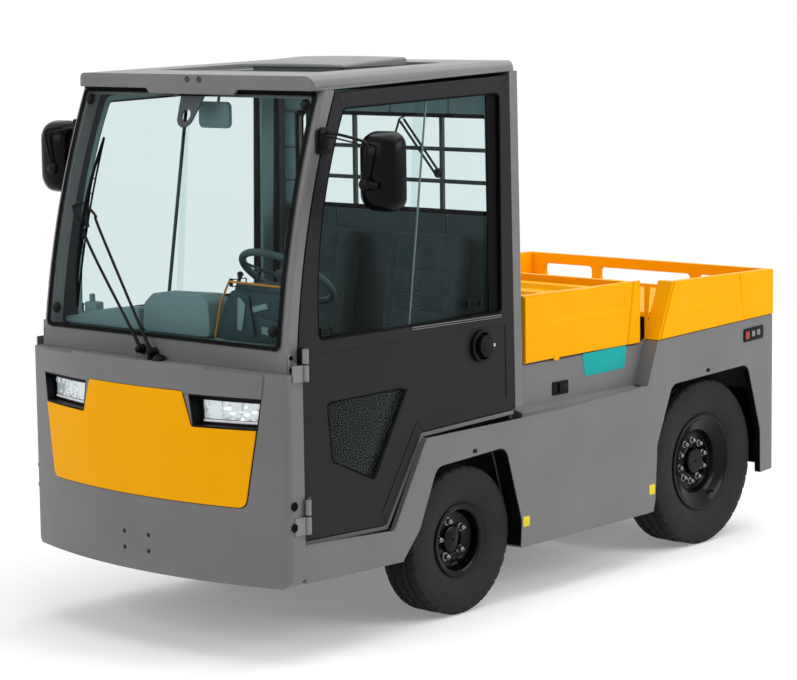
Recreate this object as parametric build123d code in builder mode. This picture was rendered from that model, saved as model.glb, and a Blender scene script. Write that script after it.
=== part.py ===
import os
from math import atan, cos, pi, radians, sin

from build123d import *

os.makedirs("parts", exist_ok=True)

# Stations along the vehicle in millimetres, measured from the front axle
front_overhang = 1127.0
wheelbase = 1650.0
rear_overhang = 470.0
coupling_reach = 110.0
overall_length = front_overhang + wheelbase + rear_overhang + coupling_reach
front_axle_y = front_overhang - overall_length / 2
body_end = wheelbase + rear_overhang

# Widths, each from the centre plane
skirt_x = 695.0
skirt_wall = 30.0
skirt_inner_x = skirt_x - skirt_wall
cab_x = 670.0
cab_back = 362.0
cab_post = 50.0
cab_lean = 0.015
cab_lean_foot = 780.0
inset_x = 620.0
inset_wall = 20.0
rail_x = 300.0
rail_width = 60.0

# Wheels
front_tyre_r = 295.0
front_tyre_width = 175.0
rear_tyre_r = 365.0
rear_tyre_width = 195.0
wheel_face_x = 637.0
rim_sheet = 8.0
running_fit = 0.05
seat_gap = 0.3

# Heights
ground_gap = 290.0
rail_bottom = 345.0
rail_top = 420.0
floor_sheet = 20.0
floor_top = rail_top + floor_sheet
platform_top = 745.0
ledge_edge = 737.0
ledge_top = 765.0
hood_bottom = 940.0
hood_top = 1215.0
apron_top = 1072.0
cowl_top = 1150.0
rear_split = 980.0
rear_wall_top = 1182.0
roof_bottom = 2079.0
roof_thickness = 54.0
roof_rise = 42.0
roof_crown_rise = 27.0
roof_front = -790.0
roof_back = 370.0
roof_half = 650.0
seam = 2.0


def side_plane(x):
    """Plane across the vehicle at x: sketch x is the station, sketch y the height."""
    return Plane(origin=(x, front_axle_y, 0), x_dir=(0, 1, 0), z_dir=(1, 0, 0))


def cross_plane(station):
    """Plane facing forward at a station: sketch x is the vehicle's x, sketch y the height."""
    return Plane(origin=(0, front_axle_y + station, 0), x_dir=(1, 0, 0), z_dir=(0, -1, 0))


def lean_x(x, height):
    """Width x at the lean's foot, moved in by the cab sides' lean at a height."""
    return x - cab_lean * (height - cab_lean_foot)


def cab_side(x):
    """Plane on the cab's leaning side: sketch x is the station, sketch y the height."""
    tilt = atan(cab_lean)
    face = Plane(origin=(lean_x(cab_x, 0), front_axle_y, 0), x_dir=(0, 1, 0), z_dir=(cos(tilt), 0, sin(tilt)))
    return face.offset(x - cab_x)


def plan_plane(height):
    """Level plane: sketch y is the station."""
    return Plane(origin=(0, front_axle_y, height))


def save(piece, label):
    piece.part.label = label
    export_step(piece.part, f"parts/{label}.step")


def save_mirrored(piece, label):
    with BuildPart() as twin:
        mirror(piece.part, about=Plane.YZ)
    save(twin, label)


def along(a, b, t):
    """Number a share t of the way from a to b."""
    return a + (b - a) * t


# Front apron: a bowed upright shell with a raised strip over the lamps
apron_wall = 22.0
apron_back = -930.0
apron_corner_r = 30.0
apron_bow = 115.0
panel_proud = 5.0
shell_nose = panel_proud - front_overhang
bow_r = (skirt_x**2 + apron_bow**2) / (2 * apron_bow)


def apron_form(low, high, inset):
    """The apron's outer form between two heights, moved inwards by inset."""
    corner = apron_corner_r - inset
    half = skirt_x - inset
    nose = shell_nose + inset
    face_r = bow_r - inset
    corner_drop = ((face_r - corner) ** 2 - (half - corner) ** 2) ** 0.5
    meet_share = face_r / (face_r - corner)
    corner_y = nose + face_r - corner_drop
    meet = ((half - corner) * meet_share, nose + face_r - corner_drop * meet_share)
    diagonal = (half - corner * (1 - cos(pi / 4)), corner_y - corner * sin(pi / 4))
    with BuildPart() as form:
        with BuildSketch(plan_plane(low)):
            with BuildLine():
                for side in (1, -1):
                    Line((side * half, apron_back), (side * half, corner_y))
                    ThreePointArc(
                        (side * half, corner_y),
                        (side * diagonal[0], diagonal[1]),
                        (side * meet[0], meet[1]),
                    )
                ThreePointArc(meet, (0, nose), (-meet[0], meet[1]))
                Line((-half, apron_back), (half, apron_back))
            make_face()
        extrude(amount=high - low)
    return form.part


def bow_form(depth):
    """All that lies behind the nose's bowed face moved back by depth."""
    nose = depth - front_overhang
    with BuildPart() as form:
        with BuildSketch(plan_plane(ground_gap)):
            with BuildLine():
                ThreePointArc((-skirt_x, nose + apron_bow), (0, nose), (skirt_x, nose + apron_bow))
                Polyline(
                    (skirt_x, nose + apron_bow), (skirt_x, apron_back + depth),
                    (-skirt_x, apron_back + depth), (-skirt_x, nose + apron_bow),
                )
            make_face()
        extrude(amount=cowl_top - ground_gap)
    return form.part


def both_sides(points):
    """An outline that runs up one side, given as (x, height), closed by its mirror image."""
    return points + [(-x, height) for x, height in reversed(points)]


def bowed_plate(outlines, face, back):
    """Plate between two depths behind the nose's face, with the given outlines in front view."""
    with BuildPart() as plate:
        for outline, corner in outlines:
            with BuildSketch(cross_plane(0)) as front_view:
                Polygon(*outline, align=None)
                fillet(front_view.vertices(), corner)
            extrude(amount=2 * front_overhang)
        add(bow_form(face), mode=Mode.INTERSECT)
        add(bow_form(back), mode=Mode.SUBTRACT)
    return plate.part


hole_spacing_x = 132.0
hole_spacing_z = 61.0
hole_r = 9.0
hole_centre_z = 399.5
apron_foot_cut = 30.0

# Lamp pockets between the strip and the yellow panel
pocket_foot = 864.0
pocket_top = 982.0
pocket = ((280.0, pocket_top), (297.0, pocket_foot), (577.0, pocket_foot + 4), (593.0, pocket_top))
strip_step = 365.0
strip_foot = 993.0
strip_outline = both_sides([
    (255.0, strip_foot), (255.0, pocket_top + 2), (594.0, pocket_top + 2), (605.0, 1070.0),
    (strip_step, 1078.0), (strip_step, 1089.0),
])
pockets = [[(side * x, z) for x, z in pocket] for side in (1, -1)]

with BuildPart() as front_apron:
    add(apron_form(ground_gap, apron_top, 0))
    add(apron_form(ground_gap, apron_top - apron_wall, apron_wall), mode=Mode.SUBTRACT)
    add(bowed_plate([(strip_outline, 1.5)], 0, panel_proud + 2))
    with BuildSketch(cross_plane(shell_nose)):
        with Locations((0, hole_centre_z)):
            with GridLocations(hole_spacing_x, hole_spacing_z, 2, 2):
                Circle(hole_r)
    extrude(amount=-4 * apron_wall, mode=Mode.SUBTRACT)
    with BuildSketch(cross_plane(apron_back + apron_wall)):
        for outline in pockets:
            Polygon(*outline, align=None)
        for side in (1, -1):
            Polygon(
                (side * skirt_x, ground_gap), (side * skirt_x, ground_gap + apron_foot_cut),
                (side * (skirt_x - apron_foot_cut), ground_gap), align=None,
            )
    extrude(amount=front_overhang, mode=Mode.SUBTRACT)
save(front_apron, "front_apron")

# Door line in side view, from its front lower corner
door_front = -918.0
door_foot = 454.0
door_waist = 1142.0
door_bend = (-843.0, 1600.0)
door_head_front = (-686.0, 2070.0)
door_head_rear = (308.0, 2104.0)
door_rear_foot = (308.0, 781.0)
door_arch_top = (-254.0, 765.0)
door_arch_foot = (-466.0, 440.0)
door_thickness = 40.0
door_gap = 8.0

# Body sides: skirt with both arches, the ledge, and the raised quarter behind the hood
arch_corner_r = 55.0
arch_low = 100.0
front_arch = (
    (-401.0, arch_low), (-401.0, 287.0), (-301.0, 394.0), (-196.0, 622.0), (222.0, 641.0), (319.0, 330.0),
    (305.0, arch_low),
)
rear_arch = (
    (wheelbase - 470.0, arch_low), (wheelbase - 424.0, 268.0), (wheelbase - 410.0, 504.0),
    (wheelbase - 300.0, 752.0), (wheelbase + 275.0, 772.0), (wheelbase + 376.0, 464.0),
    (wheelbase + 382.0, arch_low),
)
skirt_bottom_front = 300.0
skirt_bottom_mid = 218.0
skirt_bottom_rear = 273.0
notch_foot = (wheelbase - 479.0, ledge_top)
notch_waist = (wheelbase - 405.0, 951.0)
notch_head = (wheelbase - 300.0, 1195.0)
sill_drop = 14.0
ledge_start = (-250.0, ledge_edge)
quarter_wall = 20.0
arch_flange = 6.0

with BuildPart() as skirt_left:
    with BuildSketch(side_plane(skirt_inner_x)):
        with BuildLine():
            Polyline(
                (apron_back, skirt_bottom_front),
                (front_arch[1][0], front_arch[1][1]),
                (front_arch[5][0], skirt_bottom_mid),
                (rear_arch[0][0], skirt_bottom_mid),
                (body_end, skirt_bottom_rear),
                (body_end, rear_split - seam),
                notch_waist,
                notch_foot,
                (cab_back + seat_gap, ledge_edge),
                ledge_start,
                (door_arch_foot[0] + 26, door_arch_foot[1] - 30),
                (apron_back, door_foot - sill_drop),
                close=True,
            )
        make_face()
        for arch in (front_arch, rear_arch):
            with BuildSketch(mode=Mode.PRIVATE) as opening:
                with BuildLine():
                    FilletPolyline(*arch, radius=arch_corner_r, close=True)
                make_face()
            add(opening.sketch, mode=Mode.SUBTRACT)
    extrude(amount=skirt_wall)
    # Ledge that falls from the inset panel to the skirt
    with BuildSketch(cross_plane(notch_foot[0])):
        Polygon(
            (inset_x, ledge_edge - 30),
            (inset_x, ledge_top),
            (skirt_inner_x, along(ledge_top, ledge_edge, 0.4)),
            (skirt_inner_x, ledge_edge - 30),
            align=None,
        )
    extrude(amount=notch_foot[0] - cab_back - seat_gap)
    # Slanted return between the inset panel and the quarter
    with BuildSketch(side_plane(inset_x)):
        Polygon(
            notch_foot,
            (notch_foot[0] + quarter_wall, notch_foot[1]),
            (notch_waist[0] + quarter_wall, notch_waist[1]),
            notch_waist,
            align=None,
        )
    extrude(amount=skirt_inner_x - inset_x)
    # Inset panel under the hood
    with BuildSketch(side_plane(inset_x - inset_wall)):
        Polygon(
            (cab_back + seat_gap, ledge_edge - 30),
            (cab_back + seat_gap, hood_bottom - 5),
            (notch_waist[0] - 8, hood_bottom - 5),
            (notch_waist[0] + quarter_wall, notch_waist[1]),
            (notch_foot[0] + quarter_wall, ledge_edge - 30),
            align=None,
        )
    extrude(amount=inset_wall)
    # Lip on the inset panel that the hood rests on
    with BuildSketch(side_plane(inset_x - inset_wall)):
        Polygon(
            (door_rear_foot[0] + 70, hood_bottom - 6),
            (door_rear_foot[0] + 70, hood_bottom - seat_gap),
            (notch_waist[0] - 40, hood_bottom - seat_gap),
            (notch_waist[0] - 40, hood_bottom - 6),
            align=None,
        )
    extrude(amount=8)
    # Flange round the front arch, from the skirt in to the liner
    with BuildSketch(side_plane(inset_x - 8)):
        with BuildLine():
            FilletPolyline(*front_arch, radius=arch_corner_r, close=True)
        make_face()
        offset(amount=arch_flange, kind=Kind.INTERSECTION)
        with BuildLine():
            FilletPolyline(*front_arch, radius=arch_corner_r, close=True)
        make_face(mode=Mode.SUBTRACT)
        Polygon(
            (-450.0, front_arch[1][1]), (0.0, front_arch[1][1]), (0.0, skirt_bottom_mid), (400.0, skirt_bottom_mid),
            (400.0, arch_low - 50), (-450.0, arch_low - 50), align=None, mode=Mode.SUBTRACT,
        )
    extrude(amount=skirt_inner_x - inset_x + 8)
save(skirt_left, "skirt_left")
save_mirrored(skirt_left, "skirt_right")

# Yellow nose panel, and the lamps deep in their black pockets
panel_outline = both_sides([
    (490.0, 579.0), (527.0, 606.0), (571.0, 866.0), (295.0, 861.0), (252.0, 991.0),
])
with BuildPart() as nose_panel:
    add(bowed_plate([(panel_outline, 10.0)], 0, panel_proud))
save(nose_panel, "nose_panel")

pocket_wall = 5.0
pocket_back = 62.0
lens_face = 45.0
lens_depth = 9.0
lens = ((308.0, 957.0), (313.0, 876.0), (562.0, 880.0), (571.0, 957.0))
with BuildPart() as lamp_bezels:
    add(bowed_plate([(outline, 0.5) for outline in pockets], panel_proud, pocket_back))
    wall_steps = ((1, -1), (1, 1), (-1, 1), (-1, -1))
    inner_pocket = [
        (x + step_x * pocket_wall, z + step_z * pocket_wall)
        for (x, z), (step_x, step_z) in zip(pocket, wall_steps)
    ]
    wells = [([(side * x, z) for x, z in inner_pocket], 4.0) for side in (1, -1)]
    add(bowed_plate(wells, -pocket_back, lens_face + lens_depth), mode=Mode.SUBTRACT)
save(lamp_bezels, "lamp_bezels")

with BuildPart() as headlamps:
    lenses = [([(side * x, z) for x, z in lens], 10.0) for side in (1, -1)]
    add(bowed_plate(lenses, lens_face, lens_face + lens_depth - seat_gap))
save(headlamps, "headlamps")

# Cab: side frames with curved front posts, a cowl, a header and rear posts
screen_foot = (-978.0, 1157.0)
screen_bend = (-900.0, 1600.0)
screen_head = (-752.0, 2070.0)
cowl_wall = 25.0
rear_post = 48.0
header_height = 30.0
header_depth = 50.0
post_edge_r = 14.0
frame_inner_x = cab_x - cab_post
cowl_half = lean_x(frame_inner_x, apron_top) + 2


def roof_underside(station):
    return roof_bottom + seat_gap + roof_rise * (station - roof_front) / (roof_back - roof_front)


with BuildPart() as cab_frame:
    with BuildSketch(cab_side(cab_x)):
        # Front post, between the windscreen's curve and the door's
        post_back = door_head_front[0] - door_gap
        post_head = (screen_head[0] + 4, roof_underside(screen_head[0] + 4) - seat_gap)
        post_back_head = (post_back, roof_underside(post_back) - seat_gap)
        with BuildLine():
            Line((screen_foot[0], apron_top - 2), screen_foot)
            ThreePointArc(screen_foot, screen_bend, screen_head)
            Polyline(screen_head, post_head, post_back_head, (post_back, door_head_front[1]))
            ThreePointArc(
                (post_back, door_head_front[1]),
                (door_bend[0] - door_gap, door_bend[1]),
                (door_front - door_gap, door_waist),
            )
            Polyline(
                (door_front - door_gap, door_waist), (door_front - door_gap, apron_top - 2),
                (screen_foot[0], apron_top - 2),
            )
        make_face()
    extrude(amount=-cab_post)
    split(bisect_by=plan_plane(apron_top), keep=Keep.TOP)
    outer_arcs = cab_frame.edges().filter_by(GeomType.CIRCLE).sort_by(Axis.X)[-2:]
    fillet(outer_arcs.sort_by(Axis.Y)[0], post_edge_r)
    with BuildSketch(cab_side(cab_x)):
        # Rear post
        Polygon(
            (cab_back - rear_post, ledge_top + 18),
            (cab_back - rear_post, roof_underside(cab_back - rear_post) - seat_gap),
            (cab_back, roof_underside(cab_back) - seat_gap),
            (cab_back, ledge_top + 18),
            align=None,
        )
    extrude(amount=-cab_post)
    mirror(about=Plane.YZ)
    # Cowl between the front posts
    with BuildSketch(side_plane(-cowl_half)):
        Polygon(
            (screen_foot[0], apron_top), (screen_foot[0], cowl_top),
            (screen_foot[0] + cowl_wall, cowl_top), (screen_foot[0] + cowl_wall, apron_top), align=None,
        )
    extrude(amount=2 * cowl_half)
    # Header behind the windscreen's top
    header_half = lean_x(frame_inner_x, roof_bottom) + 2
    with BuildSketch(side_plane(-header_half)):
        Polygon(
            (screen_head[0] + 6, roof_bottom - header_height),
            (screen_head[0] + 14, roof_bottom),
            (screen_head[0] + 14 + header_depth, roof_bottom),
            (screen_head[0] + 6 + header_depth, roof_bottom - header_height),
            align=None,
        )
    extrude(amount=2 * header_half)
save(cab_frame, "cab_frame")

# Cab back wall with its window
window_half = 490.0
window_foot = 1549.0
window_height = 386.0
window_head = window_foot + window_height
back_wall = 24.0
pane = 6.0

with BuildPart() as cab_back_wall:
    with BuildSketch(cross_plane(cab_back)):
        wall_foot = platform_top - floor_sheet
        wall_top = roof_underside(cab_back - back_wall) - seat_gap
        wall_foot_half = lean_x(frame_inner_x, wall_foot) - seat_gap
        wall_top_half = lean_x(frame_inner_x, wall_top) - seat_gap
        Polygon(
            (-wall_foot_half, wall_foot), (wall_foot_half, wall_foot),
            (wall_top_half, wall_top), (-wall_top_half, wall_top), align=None,
        )
        with Locations((0, (window_foot + window_head) / 2)):
            RectangleRounded(2 * window_half, window_height, 30, mode=Mode.SUBTRACT)
    extrude(amount=back_wall)
save(cab_back_wall, "cab_back_wall")

with BuildPart() as rear_window:
    with BuildSketch(cross_plane(cab_back - (back_wall - pane) / 2)):
        with Locations((0, (window_foot + window_head) / 2)):
            RectangleRounded(2 * window_half, window_height, 30)
    extrude(amount=pane)
save(rear_window, "rear_window")

# Guard bars behind the window
guard_bar = 16.0
guard_columns = (-240.0, 240.0)
guard_rows = (1667.0, 1798.0)
guard_stand = 12.0
guard_half = window_half + 25
with BuildPart() as window_guard:
    guard_low, guard_high = window_foot - 25, window_head + 25
    with BuildSketch(cross_plane(cab_back + guard_stand + guard_bar)):
        with Locations((0, (guard_low + guard_high) / 2)):
            Rectangle(2 * guard_half, guard_high - guard_low)
            Rectangle(
                2 * (guard_half - guard_bar), guard_high - guard_low - 2 * guard_bar, mode=Mode.SUBTRACT
            )
        with Locations(*[(x, (guard_low + guard_high) / 2) for x in guard_columns]):
            Rectangle(guard_bar, guard_high - guard_low)
        with Locations(*[(0, z) for z in guard_rows]):
            Rectangle(2 * guard_half, guard_bar)
    extrude(amount=guard_bar)
    with BuildSketch(cross_plane(cab_back + guard_stand)):
        for x in (-guard_half + 40, guard_half - 40):
            for z in (guard_low + guard_bar / 2, guard_high - guard_bar / 2):
                with Locations((x, z)):
                    Rectangle(30, guard_bar)
    extrude(amount=guard_stand)
save(window_guard, "window_guard")

# Windscreen: a curved pane laid on the posts' front faces
screen_pane = 6.0
screen_gap = 1.0
screen_low = cowl_top + 4
screen_high = roof_bottom - 3
screen_half_low = 635.0
screen_half_high = 626.0
with BuildPart() as windscreen:
    with BuildSketch(side_plane(-screen_half_low)):
        with BuildLine():
            for shift in (-screen_gap, -screen_gap - screen_pane):
                ThreePointArc(
                    (screen_foot[0] + shift, screen_foot[1] - 8), (screen_bend[0] + shift, screen_bend[1]),
                    (screen_head[0] + shift + 5, screen_head[1] + 12),
                )
            for end in ((screen_foot[0], screen_foot[1] - 8), (screen_head[0] + 5, screen_head[1] + 12)):
                Line((end[0] - screen_gap, end[1]), (end[0] - screen_gap - screen_pane, end[1]))
        make_face()
    extrude(amount=2 * screen_half_low)
    with BuildPart(mode=Mode.PRIVATE) as screen_trim:
        with BuildSketch(cross_plane(0)) as outline:
            Polygon(
                (-screen_half_low, screen_low), (screen_half_low, screen_low),
                (screen_half_high, screen_high), (-screen_half_high, screen_high), align=None,
            )
            fillet(outline.vertices(), 24)
        extrude(amount=front_overhang)
    add(screen_trim.part, mode=Mode.INTERSECT)
save(windscreen, "windscreen")

# Roof: a pressed shell on a drip lip, with rounded sides, a recess and a raised cover
lip_height = 6.0
lip_inset = 14.0
crown_inset = 54.0
roof_corner_r = 45.0
drop_half_top = 250.0
drop_half_foot = 226.0
drop_height = 20.0
drop_depth = 12.0
recess_half = 430.0
recess_front = -560.0
recess_back = 180.0
recess_floor = roof_bottom + roof_thickness - 4
with BuildPart() as roof:
    for station, low, high in (
        (roof_front, roof_underside(roof_front), roof_bottom + roof_thickness),
        (roof_back, roof_underside(roof_back), roof_bottom + roof_thickness + roof_crown_rise),
    ):
        with BuildSketch(cross_plane(station)):
            with BuildLine():
                for side in (1, -1):
                    lip_root = (side * (roof_half - lip_inset), low + lip_height)
                    Polyline((0, low), (side * roof_half, low), (side * roof_half, low + lip_height), lip_root)
                    crown_end = (side * (roof_half - crown_inset), high)
                    ThreePointArc(lip_root, (side * (roof_half - lip_inset - 9), high - 15), crown_end)
                    Line(crown_end, (0, high))
            make_face()
    loft()
    with BuildPart(mode=Mode.PRIVATE) as roof_trim:
        with BuildSketch(plan_plane(roof_bottom - 10)):
            with Locations((0, (roof_front + roof_back) / 2)):
                RectangleRounded(2 * roof_half, roof_back - roof_front, roof_corner_r)
        extrude(amount=200)
    add(roof_trim.part, mode=Mode.INTERSECT)
    with BuildSketch(cross_plane(roof_front)):
        Polygon(
            (-drop_half_top, roof_bottom + 4), (drop_half_top, roof_bottom + 4),
            (drop_half_foot, roof_bottom - drop_height), (-drop_half_foot, roof_bottom - drop_height), align=None,
        )
    extrude(amount=-drop_depth)
    with BuildSketch(plan_plane(recess_floor)):
        with Locations((0, (recess_front + recess_back) / 2)):
            RectangleRounded(2 * recess_half, recess_back - recess_front, 40)
    extrude(amount=roof_thickness, mode=Mode.SUBTRACT)
save(roof, "roof")

cover_half = 200.0
cover_front = -250.0
cover_back = 110.0
cover_height = 58.0
with BuildPart() as roof_cover:
    with BuildSketch(plan_plane(recess_floor)):
        with Locations((0, (cover_front + cover_back) / 2)):
            RectangleRounded(2 * cover_half, cover_back - cover_front, 50)
    extrude(amount=cover_height, taper=8)
save(roof_cover, "roof_cover")

# Cab floor: footwell, riser and the platform over the front wheels
footwell_back = -446.0
floor_half = inset_x - 4
with BuildPart() as cab_floor:
    with BuildSketch(side_plane(-floor_half)):
        Polygon(
            (apron_back, rail_top),
            (footwell_back, rail_top),
            (footwell_back, platform_top - floor_sheet),
            (cab_back - back_wall - seat_gap, platform_top - floor_sheet),
            (cab_back - back_wall - seat_gap, platform_top),
            (footwell_back - floor_sheet, platform_top),
            (footwell_back - floor_sheet, floor_top),
            (apron_back, floor_top),
            align=None,
        )
    extrude(amount=2 * floor_half)
save(cab_floor, "cab_floor")

# Chassis: two rails that kick up over the drive axle, with cross members
panel_sheet = 25.0
rail_kick = 520.0
rail_deep = 85.0
with BuildPart() as chassis_frame:
    for x in (-rail_x, rail_x - rail_width):
        with BuildSketch(side_plane(x)):
            Polygon(
                (apron_back - 60, rail_bottom),
                (wheelbase - 420, rail_bottom),
                (wheelbase - 300, rail_kick),
                (body_end - panel_sheet - seat_gap, rail_kick),
                (body_end - panel_sheet - seat_gap, rail_kick + rail_deep),
                (wheelbase - 320, rail_kick + rail_deep),
                (wheelbase - 435, rail_top),
                (apron_back - 60, rail_top),
                align=None,
            )
        extrude(amount=rail_width)
    inner_rail = rail_x - rail_width
    cross_members = (
        # station, low, high
        (apron_back + 70, rail_bottom, rail_top),
        (cab_back + 33, rail_bottom, rail_top),
        (wheelbase - 470, rail_bottom, rail_top),
        (body_end - 60, rail_kick, rail_kick + rail_deep),
    )
    for station, low, high in cross_members:
        with BuildSketch(cross_plane(station)):
            with Locations((0, (low + high) / 2)):
                Rectangle(2 * inner_rail, high - low)
        extrude(amount=50)
save(chassis_frame, "chassis_frame")

# Battery block between the skirts
battery_front = cab_back + 90
battery_back = wheelbase - 485
battery_half = 560.0
with BuildPart() as battery:
    with BuildSketch(plan_plane(rail_top)):
        with Locations((0, (battery_front + battery_back) / 2)):
            Rectangle(2 * battery_half, battery_back - battery_front)
    extrude(amount=hood_bottom - 25 - rail_top)
save(battery, "battery")

# Battery hood: a lid with side walls and a recessed top
hood_front = cab_back + 70
hood_back = wheelbase - 438
hood_wall = 16.0
hood_rim = 40.0
hood_well = 90.0
hood_ribs = (-390.0, -130.0, 130.0, 390.0)
rib_width = 60.0
rib_height = 9.0
# Hood hinges: pins on the rear cover's arms, barrels on the hood
hood_pivot = (hood_back + 14.0, hood_top - 24.0)
pivot_r = 6.0
barrel_r = 10.0
hinge_arm_x = 440.0
hinge_arm_width = 20.0
hinge_barrel_x = hinge_arm_x + hinge_arm_width + 2.0
hinge_barrel_length = 38.0
with BuildPart() as hood:
    with BuildSketch(side_plane(-inset_x)):
        Polygon(
            (hood_front, hood_bottom), (hood_front, hood_top),
            (hood_back - 6, hood_top - 12), (hood_back, hood_bottom + 14), align=None,
        )
    extrude(amount=2 * inset_x)
    with BuildSketch(plan_plane(hood_bottom)):
        with Locations((0, (hood_front + hood_back) / 2)):
            Rectangle(2 * (inset_x - hood_wall), hood_back - hood_front - 2 * hood_wall)
    extrude(amount=hood_top - hood_well - hood_wall - hood_bottom, mode=Mode.SUBTRACT)
    with BuildSketch(plan_plane(hood_top)):
        with Locations((0, (hood_front + hood_back) / 2)):
            RectangleRounded(2 * (inset_x - hood_rim), hood_back - hood_front - 2 * hood_rim, 30)
    extrude(amount=-hood_well, mode=Mode.SUBTRACT)
    # Ribs on the tray's floor
    with BuildSketch(plan_plane(hood_top - hood_well)):
        for rib_x in hood_ribs:
            with Locations((rib_x, (hood_front + hood_back) / 2)):
                RectangleRounded(rib_width, hood_back - hood_front - 4 * hood_rim, rib_width / 3)
    extrude(amount=rib_height)
    for base_x in (hinge_barrel_x, -hinge_barrel_x - hinge_barrel_length):
        with BuildSketch(side_plane(base_x)):
            Polygon(
                (hood_pivot[0] - 2 * barrel_r, hood_pivot[1] - barrel_r),
                (hood_pivot[0], hood_pivot[1] - barrel_r),
                (hood_pivot[0], hood_pivot[1] + barrel_r),
                (hood_pivot[0] - 2 * barrel_r - 2, hood_pivot[1] + barrel_r), align=None,
            )
            with Locations(hood_pivot):
                Circle(barrel_r)
                Circle(pivot_r + running_fit, mode=Mode.SUBTRACT)
        extrude(amount=hinge_barrel_length)
save(hood, "hood")

# Rear cover: quarters, deck and the slotted back wall
cover_wall = 24.0
deck_top = 1060.0
deck_sheet = 20.0
slot_low, slot_high = 1071.0, 1134.0
slot_rows = ((-449.0, 287.0), (0.0, 520.0), (449.0, 287.0))
with BuildPart() as rear_cover:
    for base_x in (-skirt_x, skirt_inner_x):
        with BuildSketch(side_plane(base_x)):
            Polygon(
                (notch_waist[0] + 1.5, notch_waist[1] + 3), notch_head, (body_end, rear_wall_top),
                (body_end, rear_split), align=None,
            )
        extrude(amount=skirt_wall)
    with BuildSketch(side_plane(-skirt_inner_x)):
        Polygon(
            (body_end, deck_top - deck_sheet), (body_end, rear_wall_top),
            (body_end - cover_wall, rear_wall_top), (body_end - cover_wall, deck_top),
            (notch_head[0] - 40, deck_top), (notch_head[0] - 48, deck_top - deck_sheet), align=None,
        )
    extrude(amount=2 * skirt_inner_x)
    for side in (1, -1):
        with BuildSketch(side_plane(inset_x if side > 0 else -skirt_inner_x)):
            Polygon(
                (notch_waist[0] + 1.5, notch_waist[1] + 3), notch_head,
                (notch_head[0] + 28, notch_head[1]), (notch_waist[0] + 29.5, notch_waist[1] + 3), align=None,
            )
        extrude(amount=skirt_inner_x - inset_x)
    with BuildSketch(cross_plane(body_end - 2 * cover_wall)):
        for centre, width in slot_rows:
            with Locations((centre, (slot_low + slot_high) / 2)):
                RectangleRounded(width, slot_high - slot_low, 18)
    extrude(amount=-3 * cover_wall, mode=Mode.SUBTRACT)
    # Arms and pins of the hood's hinges
    for side in (1, -1):
        arm_start = hinge_arm_x if side > 0 else -hinge_arm_x - hinge_arm_width
        with BuildSketch(side_plane(arm_start)):
            with Locations(hood_pivot):
                Circle(barrel_r)
            Polygon(
                (hood_pivot[0] - 6, hood_pivot[1] - 8), (hood_pivot[0] + 6, hood_pivot[1] + 8),
                (notch_head[0] - 10, deck_top + 2), (notch_head[0] - 44, deck_top - deck_sheet + 4), align=None,
            )
        extrude(amount=hinge_arm_width)
        with BuildSketch(side_plane(side * (hinge_arm_x + hinge_arm_width))):
            with Locations(hood_pivot):
                Circle(pivot_r)
        extrude(amount=side * (hinge_barrel_length + 2))
save(rear_cover, "rear_cover")

# Back panel under the slotted wall
rear_foot = 330.0
with BuildPart() as rear_panel:
    with BuildSketch(cross_plane(body_end)):
        Polygon(
            (-skirt_inner_x, rear_foot), (skirt_inner_x, rear_foot),
            (skirt_inner_x, deck_top - deck_sheet), (-skirt_inner_x, deck_top - deck_sheet), align=None,
        )
    extrude(amount=panel_sheet)
save(rear_panel, "rear_panel")

# Tow coupling: jaw plates on a back plate, with a drop pin
jaw_height = 430.0
jaw_gap = 62.0
jaw_plate = 18.0
jaw_half = 70.0
pin_r = 16.0
pin_station = body_end + 62.0
jaw_corner = body_end + coupling_reach - jaw_half * 0.6
with BuildPart() as tow_coupling:
    with BuildSketch(cross_plane(body_end)):
        with Locations((0, jaw_height)):
            RectangleRounded(2 * jaw_half + 40, jaw_gap + 2 * jaw_plate + 60, 10)
    extrude(amount=-jaw_plate)
    for low in (jaw_height - jaw_gap / 2 - jaw_plate, jaw_height + jaw_gap / 2):
        with BuildSketch(plan_plane(low)):
            with BuildLine():
                Line((-jaw_half, body_end + jaw_plate), (jaw_half, body_end + jaw_plate))
                Line((jaw_half, body_end + jaw_plate), (jaw_half, jaw_corner))
                ThreePointArc(
                    (jaw_half, jaw_corner),
                    (0, body_end + coupling_reach),
                    (-jaw_half, jaw_corner),
                )
                Line((-jaw_half, jaw_corner), (-jaw_half, body_end + jaw_plate))
            make_face()
            with Locations((0, pin_station)):
                Circle(pin_r + running_fit, mode=Mode.SUBTRACT)
        extrude(amount=jaw_plate)
save(tow_coupling, "tow_coupling")

with BuildPart() as coupling_pin:
    with BuildSketch(plan_plane(jaw_height - jaw_gap / 2 - jaw_plate - 8)):
        with Locations((0, pin_station)):
            Circle(pin_r)
    extrude(amount=jaw_gap + 2 * jaw_plate + 38)
    with BuildSketch(plan_plane(jaw_height + jaw_gap / 2 + jaw_plate)):
        with Locations((0, pin_station)):
            Circle(pin_r + 9)
    extrude(amount=14)
save(coupling_pin, "coupling_pin")


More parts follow.
